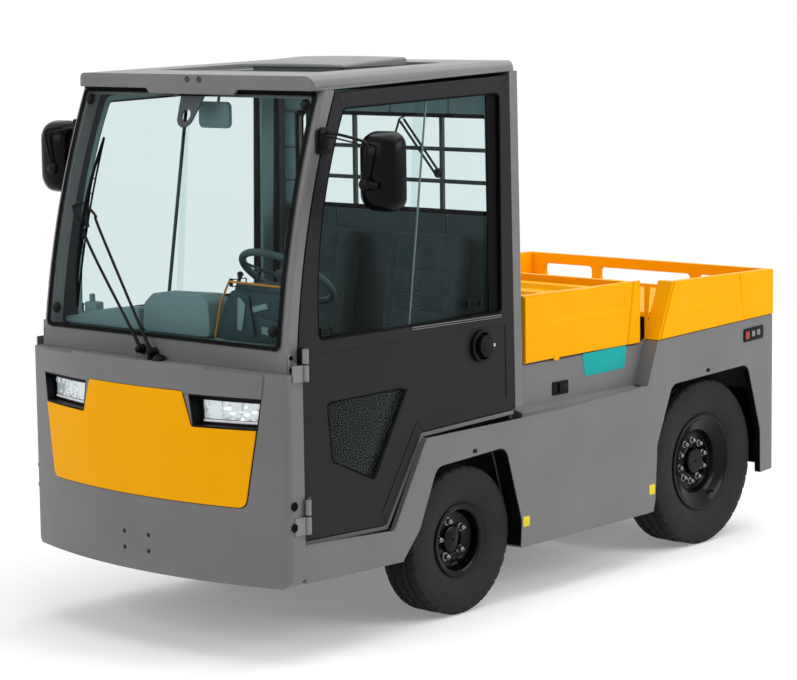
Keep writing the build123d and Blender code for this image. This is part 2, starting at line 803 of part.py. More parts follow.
# Door sills: flanges that follow the doors' lower edges
sill_flange = 16.0
sill_gap = 6.0
sill_width = skirt_inner_x - floor_half - seat_gap
with BuildPart() as door_sills:
    for base_x in (floor_half, -floor_half - sill_width):
        with BuildSketch(side_plane(base_x)):
            Polygon(
                (door_front, door_foot - sill_gap),
                (door_arch_foot[0], door_arch_foot[1] - sill_gap),
                (door_arch_top[0], door_arch_top[1] - sill_gap),
                (door_rear_foot[0], door_rear_foot[1] - sill_gap),
                (door_rear_foot[0], door_rear_foot[1] - sill_gap - sill_flange),
                (door_arch_top[0] + sill_flange, door_arch_top[1] - sill_gap - sill_flange),
                (door_arch_foot[0] + sill_flange, door_arch_foot[1] - sill_gap - sill_flange),
                (door_front, door_foot - sill_gap - sill_flange),
                align=None,
            )
        extrude(amount=sill_width)
save(door_sills, "door_sills")

# Hinges: axis outside the skirt, body halves with pins, door halves with barrels
hinge_axis = (707.0, -926.0)
hinge_barrel_r = 11.0
hinge_pin_r = 6.0
hinge_rows = ((485.0, 614.0), (1044.0, 1164.0))
hinge_slip = 1.0
hinge_leaf = 5.0

with BuildPart() as hinge_brackets:
    for low, high in hinge_rows:
        middle = (low + high) / 2
        with BuildSketch(plan_plane(low)):
            with Locations(hinge_axis):
                Circle(hinge_barrel_r)
            Polygon(
                (skirt_x, -985.0), (skirt_x + hinge_leaf, -985.0),
                (hinge_axis[0], hinge_axis[1] - 8), (hinge_axis[0], hinge_axis[1]), (skirt_x, apron_back), align=None,
            )
        extrude(amount=middle - low)
        with BuildSketch(plan_plane(middle)):
            with Locations(hinge_axis):
                Circle(hinge_pin_r)
        extrude(amount=high - middle)
    mirror(about=Plane.YZ)
save(hinge_brackets, "hinge_brackets")

# Door: one panel with a window opening above, a small one below and a pressed lower field
window_foot_front = (-808.0, 1176.0)
window_bend = (-775.0, 1612.0)
window_head_front = (-644.0, 2014.0)
window_head_rear = (252.0, 2038.0)
window_foot_rear = (240.0, 1173.0)
window_corner_r = 22.0
window_lower = ((-752.0, 721.0), (-524.0, 619.0), (-325.0, 947.0), (-773.0, 943.0))
door_outer_x = cab_x
field_margin = 48.0
field_depth = 3.0
field_top = 1128.0
handle_at = (109.0, 1055.0)
handle_r = 64.0

with BuildSketch() as upper_window:
    with BuildLine():
        ThreePointArc(window_foot_front, window_bend, window_head_front)
        Polyline(window_head_front, window_head_rear, window_foot_rear, window_foot_front)
    make_face()
    fillet(upper_window.vertices(), window_corner_r)
with BuildSketch() as lower_window:
    Polygon(*window_lower, align=None)
    fillet(lower_window.vertices(), window_corner_r)

with BuildPart() as door_left:
    with BuildSketch(cab_side(door_outer_x - door_thickness)):
        with BuildLine():
            Polyline(
                (door_front, door_waist), (door_front, door_foot), door_arch_foot, door_arch_top, door_rear_foot,
                door_head_rear, door_head_front,
            )
            ThreePointArc(door_head_front, door_bend, (door_front, door_waist))
        make_face()
        add(upper_window.sketch, mode=Mode.SUBTRACT)
        add(lower_window.sketch, mode=Mode.SUBTRACT)
    extrude(amount=door_thickness)
    with BuildSketch(cab_side(door_outer_x - field_depth)) as field:
        Polygon(
            (door_front + field_margin, door_foot + field_margin),
            (door_arch_foot[0] - 22, door_arch_foot[1] + field_margin),
            (door_arch_top[0] - 22, door_arch_top[1] + field_margin),
            (door_rear_foot[0] - field_margin, door_rear_foot[1] + field_margin),
            (door_rear_foot[0] - field_margin, field_top),
            (door_front + field_margin, field_top),
            align=None,
        )
        fillet(field.vertices(), 12)
    extrude(amount=2 * field_depth, mode=Mode.SUBTRACT)
    for low, high in hinge_rows:
        middle = (low + high) / 2 + hinge_slip
        leaf_root = lean_x(door_outer_x, high) - 12
        with BuildSketch(plan_plane(middle)):
            with Locations(hinge_axis):
                Circle(hinge_barrel_r)
            Polygon(
                (leaf_root, door_front + 34), (door_outer_x + 2 * hinge_leaf, door_front + 34),
                (door_outer_x + 2 * hinge_leaf, door_front + 8), (hinge_axis[0] + 4, hinge_axis[1] + 10),
                (hinge_axis[0] - 4, hinge_axis[1] + 6), (leaf_root, door_front + 2), align=None,
            )
        extrude(amount=high - middle)
        with BuildSketch(plan_plane(middle)):
            with Locations(hinge_axis):
                Circle(hinge_pin_r + running_fit)
        extrude(amount=high - middle, mode=Mode.SUBTRACT)
save(door_left, "door_left")
save_mirrored(door_left, "door_right")

# Door glass: two sliding panes above and the fixed pane below
glass_thickness = 5.0
divider_top, divider_foot = -185.0, -245.0
pane_overlap = 40.0
pane_step = glass_thickness + 3
with BuildPart() as door_glass_left:
    with BuildSketch(cab_side(door_outer_x - door_thickness / 2)):
        add(upper_window.sketch)
        Polygon(
            (divider_foot, 1100.0), (divider_foot, 1190.0), (divider_top, 2100.0), (500.0, 2100.0), (500.0, 1100.0),
            align=None, mode=Mode.SUBTRACT,
        )
    extrude(amount=glass_thickness)
    with BuildSketch(cab_side(door_outer_x - door_thickness / 2 - pane_step)):
        add(upper_window.sketch)
        Polygon(
            (divider_foot - pane_overlap, 1100.0), (divider_foot - pane_overlap, 1190.0),
            (divider_top - pane_overlap, 2100.0), (-1200.0, 2100.0), (-1200.0, 1100.0),
            align=None, mode=Mode.SUBTRACT,
        )
    extrude(amount=glass_thickness)
    with BuildSketch(cab_side(door_outer_x - glass_thickness - field_depth)):
        add(lower_window.sketch)
    extrude(amount=glass_thickness)
save(door_glass_left, "door_glass_left")
save_mirrored(door_glass_left, "door_glass_right")

# Door handle: a round cup with a turning grip
with BuildPart() as door_handle_left:
    with BuildSketch(cab_side(door_outer_x - field_depth + seat_gap)):
        with Locations(handle_at):
            Circle(handle_r)
    extrude(amount=8 + field_depth - seat_gap)
    with BuildSketch(cab_side(door_outer_x + 8)):
        with Locations(handle_at):
            Circle(handle_r - 20)
    extrude(amount=14)
    with BuildSketch(cab_side(door_outer_x + 22)):
        with Locations(handle_at):
            RectangleRounded(2 * handle_r - 50, 22, 8)
    extrude(amount=8)
save(door_handle_left, "door_handle_left")
save_mirrored(door_handle_left, "door_handle_right")

# Mirrors on arms from the doors' front corners
mirror_at = (880.0, -700.0, 1790.0)
mirror_size = (150.0, 62.0, 290.0)
arm_r = 8.0
arm_root = (lean_x(cab_x, 1915.0), -760.0, 1915.0)
bracket_size = (34.0, 84.0)
bracket_stand = 12.0
clamp_depth = 18.0
with BuildPart() as mirror_left:
    with BuildSketch(cab_side(cab_x)):
        with Locations((arm_root[1] + 32, arm_root[2] - 20)):
            RectangleRounded(bracket_size[0], bracket_size[1], 8)
    extrude(amount=bracket_stand)
    with BuildSketch(cab_side(cab_x + bracket_stand)):
        with Locations((arm_root[1] + 12, arm_root[2] - 20)):
            RectangleRounded(2.2 * bracket_size[0], bracket_size[1], 8)
    extrude(amount=clamp_depth)
    with BuildLine():
        arm_path = FilletPolyline(
            (arm_root[0] + 20, front_axle_y + arm_root[1], arm_root[2]),
            (mirror_at[0] - 10, front_axle_y + mirror_at[1] - 58, arm_root[2] - 20),
            (mirror_at[0] - 10, front_axle_y + mirror_at[1] - 58, mirror_at[2] - 30),
            radius=24,
        )
    with BuildSketch(Plane(origin=arm_path @ 0, z_dir=arm_path % 0)):
        Circle(arm_r)
    sweep()
    with BuildSketch(cross_plane(mirror_at[1] - mirror_size[1] / 2)):
        with Locations((mirror_at[0], mirror_at[2])):
            RectangleRounded(mirror_size[0] - 40, mirror_size[2] - 40, 40)
    with BuildSketch(cross_plane(mirror_at[1] + mirror_size[1] / 2 - 18)):
        with Locations((mirror_at[0], mirror_at[2])):
            RectangleRounded(mirror_size[0], mirror_size[2], 50)
    loft()
    with BuildSketch(cross_plane(mirror_at[1] + mirror_size[1] / 2)):
        with Locations((mirror_at[0], mirror_at[2])):
            RectangleRounded(mirror_size[0], mirror_size[2], 50)
    extrude(amount=18)
    with BuildSketch(cross_plane(mirror_at[1] - mirror_size[1] / 2 + 10)):
        with Locations((mirror_at[0] - 10, mirror_at[2] - 42)):
            Circle(22)
    extrude(amount=48)
save(mirror_left, "mirror_left")
save_mirrored(mirror_left, "mirror_right")

# Front axle: beam, bosses and pads under the rails
kingpin_x = 445.0
kingpin_r = 15.0
boss_r = 27.0
beam_half_height = 40.0
beam_half_depth = 30.0
axle_z = front_tyre_r
with BuildPart() as front_axle:
    with BuildSketch(cross_plane(beam_half_depth)):
        with Locations((0, axle_z)):
            Rectangle(2 * kingpin_x, 2 * beam_half_height)
    extrude(amount=2 * beam_half_depth)
    with BuildSketch(plan_plane(axle_z - beam_half_height)):
        with Locations((-kingpin_x, 0), (kingpin_x, 0)):
            Circle(boss_r + 1)
    extrude(amount=2 * beam_half_height)
    for side in (1, -1):
        with BuildSketch(plan_plane(axle_z - beam_half_height)):
            with Locations((side * (kingpin_x + 20), 0)):
                Rectangle(40, 4 * beam_half_depth)
            with Locations((side * kingpin_x, 0)):
                Circle(boss_r, mode=Mode.SUBTRACT)
        extrude(amount=2 * beam_half_height, mode=Mode.SUBTRACT)
        with BuildSketch(plan_plane(axle_z - beam_half_height)):
            with Locations((side * kingpin_x, 0)):
                Circle(kingpin_r + running_fit)
        extrude(amount=2 * beam_half_height, mode=Mode.SUBTRACT)
    with BuildSketch(plan_plane(axle_z + beam_half_height)):
        for side in (1, -1):
            with Locations((side * (rail_x - rail_width / 2), 0)):
                Rectangle(rail_width, 120)
    extrude(amount=rail_bottom - axle_z - beam_half_height)
save(front_axle, "front_axle")

# Steering knuckle: a fork round the boss, its pin, the spindle and the steering arm
fork_slip = 2.0
fork_ear = 20.0
fork_r = 30.0
web_inner = kingpin_x + 33.0
web_thickness = 20.0
spindle_r = 22.0
spindle_end = 585.0
arm_reach = 140.0
arm_thickness = 12.0
fork_low = axle_z - beam_half_height - fork_slip - fork_ear
fork_high = axle_z + beam_half_height + fork_slip + fork_ear
with BuildPart() as knuckle_left:
    for low in (fork_low, fork_high - fork_ear):
        with BuildSketch(plan_plane(low)):
            with Locations((kingpin_x, 0)):
                Circle(fork_r)
            with Locations(((kingpin_x + web_inner + web_thickness) / 2, 0)):
                Rectangle(web_inner + web_thickness - kingpin_x, 2 * fork_r)
        extrude(amount=fork_ear)
    with BuildSketch(side_plane(web_inner)):
        with Locations((0, axle_z)):
            Rectangle(2 * fork_r, fork_high - fork_low)
    extrude(amount=web_thickness)
    with BuildSketch(plan_plane(fork_low)):
        with Locations((kingpin_x, 0)):
            Circle(kingpin_r)
    extrude(amount=fork_high - fork_low)
    with BuildSketch(side_plane(web_inner + web_thickness)):
        with Locations((0, axle_z)):
            Circle(spindle_r)
    extrude(amount=spindle_end - web_inner - web_thickness)
    with BuildSketch(plan_plane(fork_low)):
        with Locations((kingpin_x, arm_reach / 2)):
            SlotCenterToCenter(arm_reach, 36, rotation=90)
    extrude(amount=arm_thickness)
save(knuckle_left, "knuckle_left")
save_mirrored(knuckle_left, "knuckle_right")

# Tie rod behind the front axle
tie_r = 9.0
with BuildPart() as tie_rod:
    with BuildSketch(side_plane(-kingpin_x + 10)):
        with Locations((arm_reach, fork_low - seat_gap - tie_r)):
            Circle(tie_r)
    extrude(amount=2 * (kingpin_x - 10))
    with BuildSketch(plan_plane(fork_low - seat_gap - 2 * tie_r)):
        with Locations((-kingpin_x, arm_reach), (kingpin_x, arm_reach)):
            Circle(18)
    extrude(amount=2 * tie_r)
save(tie_rod, "tie_rod")

# Drive axle with its differential and the traction motor ahead of it
axle_tube_r = 62.0
axle_tube_end = 425.0
stub_r = 34.0
stub_end = 600.0
diff_r = 150.0
motor_r = 120.0
motor_front = wheelbase - 375
with BuildPart() as drive_axle:
    with BuildSketch(side_plane(-axle_tube_end)):
        with Locations((wheelbase, rear_tyre_r)):
            Circle(axle_tube_r)
    extrude(amount=2 * axle_tube_end)
    with BuildSketch(side_plane(-stub_end)):
        with Locations((wheelbase, rear_tyre_r)):
            Circle(stub_r)
    extrude(amount=2 * stub_end)
    with BuildSketch(side_plane(-90)):
        with Locations((wheelbase, rear_tyre_r)):
            Circle(diff_r)
    extrude(amount=180)
    with BuildSketch(plan_plane(rear_tyre_r)):
        for side in (1, -1):
            with Locations((side * (rail_x - rail_width / 2), wheelbase)):
                Rectangle(rail_width, 110)
    extrude(amount=rail_kick - rear_tyre_r)
save(drive_axle, "drive_axle")

with BuildPart() as drive_motor:
    with BuildSketch(cross_plane(wheelbase - diff_r)):
        with Locations((0, rear_tyre_r)):
            Circle(motor_r)
    extrude(amount=wheelbase - diff_r - motor_front)
save(drive_motor, "drive_motor")

# Wheels: tyre, and rim with disc and hub, turned about the axle line
wheel_table = (
    # end, station, tyre_r, tyre_width, rim_r, flange_r, shaft_r, hub_inner, hub_outer, hub_r
    ("front", 0.0, front_tyre_r, front_tyre_width, 127.0, 145.0, spindle_r, 505.0, 598.0, 58.0),
    ("rear", wheelbase, rear_tyre_r, rear_tyre_width, 190.0, 211.0, stub_r, 432.0, 612.0, 92.0),
)
flange_width = 6.0
bead_margin = 24.0
for end, station, tyre_r, tyre_width, rim_r, flange_r, shaft_r, hub_inner, hub_outer, hub_r in wheel_table:
    bead_half = tyre_width / 2 - bead_margin
    centre = wheel_face_x - flange_width - bead_half
    spin_plane = Plane(
        origin=(centre, front_axle_y + station, tyre_r), x_dir=(1, 0, 0), z_dir=(0, -1, 0)
    )
    spin = Axis((0, front_axle_y + station, tyre_r), (1, 0, 0))
    tread_half = tyre_width / 2 - 16
    side_r = along(flange_r, tyre_r, 0.42)
    shoulder_r = tyre_r - 16
    with BuildPart() as tyre:
        with BuildSketch(spin_plane):
            with BuildLine():
                Line((-bead_half, rim_r), (bead_half, rim_r))
                for side in (1, -1):
                    Line((side * bead_half, rim_r), (side * bead_half, flange_r + 2))
                    ThreePointArc(
                        (side * bead_half, flange_r + 2),
                        (side * tyre_width / 2, side_r),
                        (side * (tyre_width / 2 - 4), shoulder_r),
                    )
                    Line((side * (tyre_width / 2 - 4), shoulder_r), (side * tread_half, tyre_r))
                Line((-tread_half, tyre_r), (tread_half, tyre_r))
            make_face()
        revolve(axis=spin)
    disc_out = hub_outer - centre - 14
    with BuildPart() as rim:
        with BuildSketch(spin_plane):
            # Barrel with both flanges
            Polygon(
                (-bead_half - flange_width, flange_r), (-bead_half, flange_r), (-bead_half, rim_r),
                (bead_half, rim_r), (bead_half, flange_r), (bead_half + flange_width, flange_r),
                (bead_half + flange_width, rim_r - rim_sheet), (-bead_half - flange_width, rim_r - rim_sheet),
                align=None,
            )
            # Dished disc from the barrel to the hub
            Polygon(
                (disc_out - 46, rim_r - rim_sheet + 1), (disc_out - 34, rim_r - rim_sheet + 1),
                (disc_out, rim_r - rim_sheet - 34), (disc_out, hub_r - 4), (disc_out - 12, hub_r - 4),
                (disc_out - 12, rim_r - rim_sheet - 38), align=None,
            )
            # Hub on the shaft
            Polygon(
                (hub_inner - centre, shaft_r + running_fit), (hub_inner - centre, hub_r),
                (hub_outer - centre, hub_r), (hub_outer - centre + 6, hub_r - 8),
                (hub_outer - centre + 6, 0), (hub_outer - centre - 6, 0),
                (hub_outer - centre - 6, shaft_r + running_fit), align=None,
            )
        revolve(axis=spin)
    save(tyre, f"tyre_{end}_left")
    save_mirrored(tyre, f"tyre_{end}_right")
    save(rim, f"rim_{end}_left")
    save_mirrored(rim, f"rim_{end}_right")

# Arch liners between the rails and the skirts
liner_sheet = 5.0
front_liner = ((-425.0, 300.0), (-425.0, 560.0), (-330.0, 668.0), (300.0, 668.0), (378.0, 560.0), (378.0, 230.0))
rear_liner = (
    (wheelbase - 450, 330.0), (wheelbase - 450, 640.0), (wheelbase - 320, 782.0),
    (wheelbase + 300, 782.0), (wheelbase + 425, 640.0), (wheelbase + 425, 300.0),
)
with BuildPart() as arch_liners:
    liner_inner = rail_x + seat_gap
    for route, outer_x in ((front_liner, floor_half - 4), (rear_liner, skirt_inner_x - seat_gap)):
        for base_x in (liner_inner, -outer_x):
            with BuildSketch(side_plane(base_x)):
                with BuildLine():
                    Polyline(*route)
                    offset(amount=liner_sheet, side=Side.RIGHT, kind=Kind.INTERSECTION)
                make_face()
            extrude(amount=outer_x - liner_inner)
save(arch_liners, "arch_liners")

# Dashboard, steering column and wheel
seat_x = 300.0
wheel_centre = (seat_x - 40, -600.0, 1330.0)
wheel_tilt = 35.0
column_r = 24.0
column_length = 330.0
steer_r = 185.0
steer_tube = 13.0
steer_plane = Plane(
    origin=(wheel_centre[0], front_axle_y + wheel_centre[1], wheel_centre[2]),
    x_dir=(1, 0, 0),
    z_dir=(0, sin(radians(wheel_tilt)), cos(radians(wheel_tilt))),
)
dash_half = lean_x(frame_inner_x, cowl_top + 12) - seat_gap
dash_depth = 190.0
dash_foot = 820.0
with BuildPart() as dashboard:
    with BuildSketch(side_plane(-dash_half)):
        Polygon(
            (apron_back + seat_gap, dash_foot),
            (apron_back + seat_gap, apron_top + seat_gap),
            (screen_foot[0] + cowl_wall + seat_gap, apron_top + seat_gap),
            (screen_foot[0] + cowl_wall + seat_gap, cowl_top),
            (screen_foot[0] + dash_depth, cowl_top + 12),
            (screen_foot[0] + dash_depth + 10, cowl_top - 60),
            (screen_foot[0] + dash_depth - 95, dash_foot),
            align=None,
        )
    extrude(amount=2 * dash_half)
    with BuildSketch(steer_plane.offset(-6)):
        Circle(column_r + seat_gap)
    extrude(amount=-column_length - 1, mode=Mode.SUBTRACT)
save(dashboard, "dashboard")

with BuildPart() as steering_wheel:
    rim_plane = Plane(
        origin=steer_plane.origin, x_dir=(1, 0, 0), z_dir=(0, -cos(radians(wheel_tilt)), sin(radians(wheel_tilt)))
    )
    with BuildSketch(rim_plane):
        with Locations((steer_r, 0)):
            Circle(steer_tube)
    revolve(axis=Axis(steer_plane.origin, steer_plane.z_dir))
    with BuildSketch(steer_plane.offset(-6)):
        Circle(42)
        for angle in (90, 210, 330):
            with Locations((cos(radians(angle)) * steer_r / 2, sin(radians(angle)) * steer_r / 2)):
                Rectangle(steer_r, 26, rotation=angle)
    extrude(amount=12)
save(steering_wheel, "steering_wheel")

with BuildPart() as steering_column:
    with BuildSketch(steer_plane.offset(-6)):
        Circle(column_r)
    extrude(amount=-column_length)
save(steering_column, "steering_column")

# Seats: pedestals, cushions and backrests
seat_width = 460.0
pedestal_height = 130.0
cushion_height = 110.0
cushion_front, cushion_back = -250.0, 215.0
back_height = 520.0
back_thickness = 110.0
with BuildPart() as seat_pedestals:
    for x in (-seat_x, seat_x):
        with BuildSketch(plan_plane(platform_top)):
            with Locations((x, (cushion_front + cushion_back) / 2)):
                RectangleRounded(seat_width - 80, cushion_back - cushion_front - 60, 20)
        extrude(amount=pedestal_height)
save(seat_pedestals, "seat_pedestals")

for name, x in (("driver", seat_x), ("passenger", -seat_x)):
    cushion_low = platform_top + pedestal_height + seat_gap
    with BuildPart() as seat_cushion:
        with BuildSketch(plan_plane(cushion_low)):
            with Locations((x, (cushion_front + cushion_back) / 2)):
                RectangleRounded(seat_width, cushion_back - cushion_front, 40)
        extrude(amount=cushion_height)
    save(seat_cushion, f"{name}_seat_cushion")
    with BuildPart() as seat_back:
        with BuildSketch(side_plane(x - seat_width / 2)):
            Polygon(
                (cushion_back - back_thickness, cushion_low + cushion_height + seat_gap),
                (cushion_back, cushion_low + cushion_height + seat_gap),
                (cushion_back + 90, cushion_low + cushion_height + back_height),
                (cushion_back + 90 - back_thickness, cushion_low + cushion_height + back_height), align=None,
            )
        extrude(amount=seat_width)
    save(seat_back, f"{name}_seat_backrest")

# Side marker and tail lamps
marker = (body_end - 233.0, body_end - 82.0, 877.0, 934.0)
with BuildPart() as marker_lamps:
    for base_x in (skirt_x, -skirt_x - 4):
        with BuildSketch(side_plane(base_x)):
            Polygon(
                (marker[0], marker[2]), (marker[1], marker[2] + 6), (marker[1], marker[3]),
                (marker[0], marker[3] - 6), align=None,
            )
        extrude(amount=4)
save(marker_lamps, "marker_lamps")

tail_x, tail_z = 560.0, 900.0
tail_width, tail_height = 90.0, 200.0
with BuildPart() as tail_lamps:
    with BuildSketch(cross_plane(body_end)):
        with Locations((-tail_x, tail_z), (tail_x, tail_z)):
            RectangleRounded(tail_width, tail_height, 12)
    extrude(amount=-28)
save(tail_lamps, "tail_lamps")
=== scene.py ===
import random
from math import atan2, copysign, cos, exp, hypot, pi, radians, sin, sqrt, tan, tau

import bmesh
import bpy
from mathutils import Matrix, Vector


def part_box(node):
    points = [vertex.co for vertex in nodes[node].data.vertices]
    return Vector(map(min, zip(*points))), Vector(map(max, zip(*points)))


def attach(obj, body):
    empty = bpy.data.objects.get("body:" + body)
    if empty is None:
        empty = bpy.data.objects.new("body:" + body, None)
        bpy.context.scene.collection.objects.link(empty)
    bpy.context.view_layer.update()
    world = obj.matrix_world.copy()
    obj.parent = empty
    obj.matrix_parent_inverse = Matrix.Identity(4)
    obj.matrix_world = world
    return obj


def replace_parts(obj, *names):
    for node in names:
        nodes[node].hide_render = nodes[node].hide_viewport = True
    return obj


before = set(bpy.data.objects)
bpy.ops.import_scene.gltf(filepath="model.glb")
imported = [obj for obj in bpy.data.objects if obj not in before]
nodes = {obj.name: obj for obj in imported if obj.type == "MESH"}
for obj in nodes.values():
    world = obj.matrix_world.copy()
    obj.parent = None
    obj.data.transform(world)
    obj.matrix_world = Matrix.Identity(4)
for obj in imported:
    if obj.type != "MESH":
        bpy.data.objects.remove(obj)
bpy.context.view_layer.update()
scene = bpy.context.scene

# Sizes shared with the part's source, in millimetres; stations run back from the front axle
front_axle_y = -0.5515
wheelbase = 1650
body_end = 2120
cab_x = 670
cab_lean = 0.015
cab_lean_foot = 780
skirt_x = 695
inset_x = 620
nose = -1127
nose_r = 2157.6
cab_back = 362


def at(x, station, z):
    """Point in metres from x, station and height in millimetres."""
    return Vector((x / 1000, station / 1000 + front_axle_y, z / 1000))


# Camera fitted to the photo
photo_width = 797
photo_height = 680
focal_px = 2537.47
centre_px = (431.83, 308.69)
camera_place = (6.9696, -7.9943, 2.4141)
yaw, pitch, roll = (radians(a) for a in (40.969, 7.016, -0.664))

forward = Vector((-sin(yaw) * cos(pitch), cos(yaw) * cos(pitch), -sin(pitch)))
right = forward.cross(Vector((0, 0, 1))).normalized()
up = right.cross(forward)
right, up = right * cos(roll) + up * sin(roll), up * cos(roll) - right * sin(roll)
camera_data = bpy.data.cameras.new("camera")
camera_data.sensor_width = 36
camera_data.lens = camera_data.sensor_width * focal_px / photo_width
camera_data.shift_x = (photo_width / 2 - centre_px[0]) / photo_width
camera_data.shift_y = (centre_px[1] - photo_height / 2) / photo_width
camera_data.clip_end = 200
camera = bpy.data.objects.new("camera", camera_data)
camera.matrix_world = Matrix.Translation(camera_place) @ Matrix((right, up, -forward)).transposed().to_4x4()
scene.collection.objects.link(camera)
scene.camera = camera
scene.view_settings.view_transform = "Standard"


# Materials
def feed(tree, node, values):
    """Feeds inputs, by name or number, with plain values, sockets or the first outputs of nodes."""
    for key, value in values.items():
        if isinstance(value, bpy.types.Node):
            value = value.outputs[0]
        if isinstance(value, bpy.types.NodeSocket):
            tree.links.new(value, node.inputs[key])
        else:
            node.inputs[key].default_value = value


def add_node(tree, kind, *values, **settings):
    """Shader node with its first inputs fed by the values."""
    node = tree.nodes.new("ShaderNode" + kind)
    for key, value in settings.items():
        setattr(node, key, value)
    feed(tree, node, dict(enumerate(values)))
    return node


def empty_tree(owner):
    """Node tree of a new material or world, with nothing in it."""
    owner.use_nodes = True
    owner.node_tree.nodes.clear()
    return owner.node_tree


def new_material(name):
    material = bpy.data.materials.new(name)
    tree = empty_tree(material)
    shader = add_node(tree, "BsdfPrincipled")
    add_node(tree, "OutputMaterial", shader)
    return material, tree, shader


def noise(tree, scale, detail):
    node = add_node(tree, "TexNoise", add_node(tree, "TexCoord").outputs["Object"])
    feed(tree, node, {"Scale": scale, "Detail": detail})
    return node


def ramp(tree, source, low, high, a, b):
    node = add_node(tree, "ValToRGB", source)
    for stop, position, colour in zip(node.color_ramp.elements, (low, high), (a, b)):
        stop.position = position
        stop.color = (*colour, 1)
    return node


def srgb(r, g, b):
    """Linear colour from 0-255 screen values."""
    def line(v):
        v /= 255
        return v / 12.92 if v <= 0.04045 else ((v + 0.055) / 1.055) ** 2.4
    return (line(r), line(g), line(b))


def shaded(colour, factor):
    return tuple(c * factor for c in colour)


def paint(name, colour, rough=0.4, metallic=0.0, grain=900, grain_depth=0.02, vary=0.06, edge=0.004,
          shine=0.25):
    """Painted or moulded surface: slow colour drift, fine grain and softened edges."""
    material, tree, shader = new_material(name)
    tone = ramp(tree, noise(tree, 3, 4), 0.3, 0.7, shaded(colour, 1 - vary), shaded(colour, 1 + vary))
    sheen = ramp(tree, noise(tree, 12, 5), 0.3, 0.7, (rough * 0.9,) * 3, (rough * 1.12,) * 3)
    bump = add_node(tree, "Bump")
    feed(tree, bump, {"Strength": 0.25, "Distance": grain_depth / 100, "Height": noise(tree, grain, 2)})
    if edge:
        feed(tree, bump, {"Normal": add_node(tree, "Bevel", edge, samples=4)})
    feed(tree, shader, {"Base Color": tone, "Roughness": sheen, "Metallic": metallic,
                        "Specular IOR Level": shine, "Normal": bump})
    return material


def woven(name, colour):
    """Seat cloth: mottled thread by thread, with broad worn patches."""
    material, tree, shader = new_material(name)
    threads = ramp(tree, noise(tree, 240, 3), 0.3, 0.7, (0.88,) * 3, (1.0,) * 3)
    worn = ramp(tree, noise(tree, 14, 4), 0.35, 0.7, shaded(colour, 0.9), shaded(colour, 1.12))
    dyed = add_node(tree, "Mix", 1.0, data_type="RGBA", blend_type="MULTIPLY")
    feed(tree, dyed, {6: worn, 7: threads})
    feed(tree, shader, {"Base Color": dyed.outputs[2], "Roughness": 0.9, "Specular IOR Level": 0.1})
    return material


def clear_glass(name, tint, mirror=0.3):
    """Thin pane: tinted clear, with a reflection that grows at a slant and faint smears."""
    material = bpy.data.materials.new(name)
    tree = empty_tree(material)
    clear = add_node(tree, "BsdfTransparent", (*tint, 1))
    gloss = add_node(tree, "BsdfGlossy")
    feed(tree, gloss, {"Roughness": ramp(tree, noise(tree, 5, 5), 0.3, 0.7, (0.01,) * 3, (0.05,) * 3)})
    facing = add_node(tree, "LayerWeight", 0.5)
    steep = add_node(tree, "Math", facing.outputs["Facing"], 4.5, operation="POWER")
    slant = add_node(tree, "Math", steep, mirror, 0.006, operation="MULTIPLY_ADD")
    add_node(tree, "OutputMaterial", add_node(tree, "MixShader", slant, clear, gloss))
    return material


grey = paint("grey_paint", srgb(112, 112, 113), rough=0.38)
dark_grey = paint("dark_grey_paint", srgb(66, 70, 72), rough=0.45, shine=0.15)
yellow = paint("yellow_paint", (0.9, 0.395, 0.001), rough=0.36, vary=0.02, shine=0.045)
orange = paint("orange_trim", srgb(190, 125, 25), rough=0.5, shine=0.1)
anthracite = paint("door_paint", srgb(34, 33, 36), rough=0.42, shine=0.11)
chassis_black = paint("chassis_paint", srgb(16, 16, 17), rough=0.5, vary=0.15, shine=0.1)
black_plastic = paint("black_plastic", srgb(10, 10, 11), rough=0.42, grain=500, grain_depth=0.04, shine=0.11)
seal_black = paint("seal_rubber", srgb(7, 7, 8), rough=0.6, grain=700, grain_depth=0.05, edge=0, shine=0.06)
rim_black = paint("rim_paint", srgb(4, 4, 5), rough=0.16, shine=0.14)
rubber = paint("tyre_rubber", srgb(40, 40, 41), rough=0.7, grain=260, grain_depth=0.08, vary=0.14, edge=0.002,
               shine=0.12)
zinc = paint("hinge_zinc", srgb(128, 128, 126), rough=0.35, metallic=0.3, edge=0.001)
steel = paint("bright_steel", srgb(190, 190, 188), rough=0.25, metallic=1.0, edge=0.001)
cast = paint("cast_metal", srgb(60, 60, 62), rough=0.6, metallic=0.6, grain=200, grain_depth=0.1)
mirror_face = paint("mirror_glass", srgb(205, 212, 214), rough=0.03, metallic=1.0, grain_depth=0.0, edge=0)
mirror_black = paint("mirror_black", srgb(3, 3, 3), rough=0.22, grain_depth=0.0, edge=0, shine=0.1)
cloth = woven("seat_cloth", srgb(62, 74, 74))
trim_teal = paint("interior_trim", srgb(136, 165, 167), rough=0.6, grain=600, grain_depth=0.05, shine=0.1)
# Shaded copy of the interior trim, half as bright in each channel: painted shade in the roof's recess and low
# on the rear wall
trim_teal_shaded = paint("interior_trim_painted_shade", srgb(66, 80, 81), rough=0.6, grain=600, grain_depth=0.05, shine=0.1)
dash_teal = paint("dash_plastic", srgb(108, 133, 136), rough=0.6, grain=500, grain_depth=0.05, shine=0.15)
dash_dark = paint("console_plastic", srgb(28, 54, 58), rough=0.5, grain=500, grain_depth=0.05, shine=0.15)
screen_dark = paint("display_glass", srgb(10, 22, 25), rough=0.12, edge=0, shine=0.4)
teal_plate = paint("teal_plate", (0.012, 0.37, 0.36), rough=0.4, vary=0.04, edge=0.001, shine=0.1)
label_yellow = paint("label_yellow", srgb(225, 205, 40), rough=0.5, edge=0.001, shine=0.1)
reflector = paint("lamp_reflector", srgb(206, 211, 214), rough=0.16, metallic=0.55, edge=0, shine=0.5)
light_bar = paint("lamp_bar", srgb(250, 252, 253), rough=0.3, edge=0, shine=0.5)
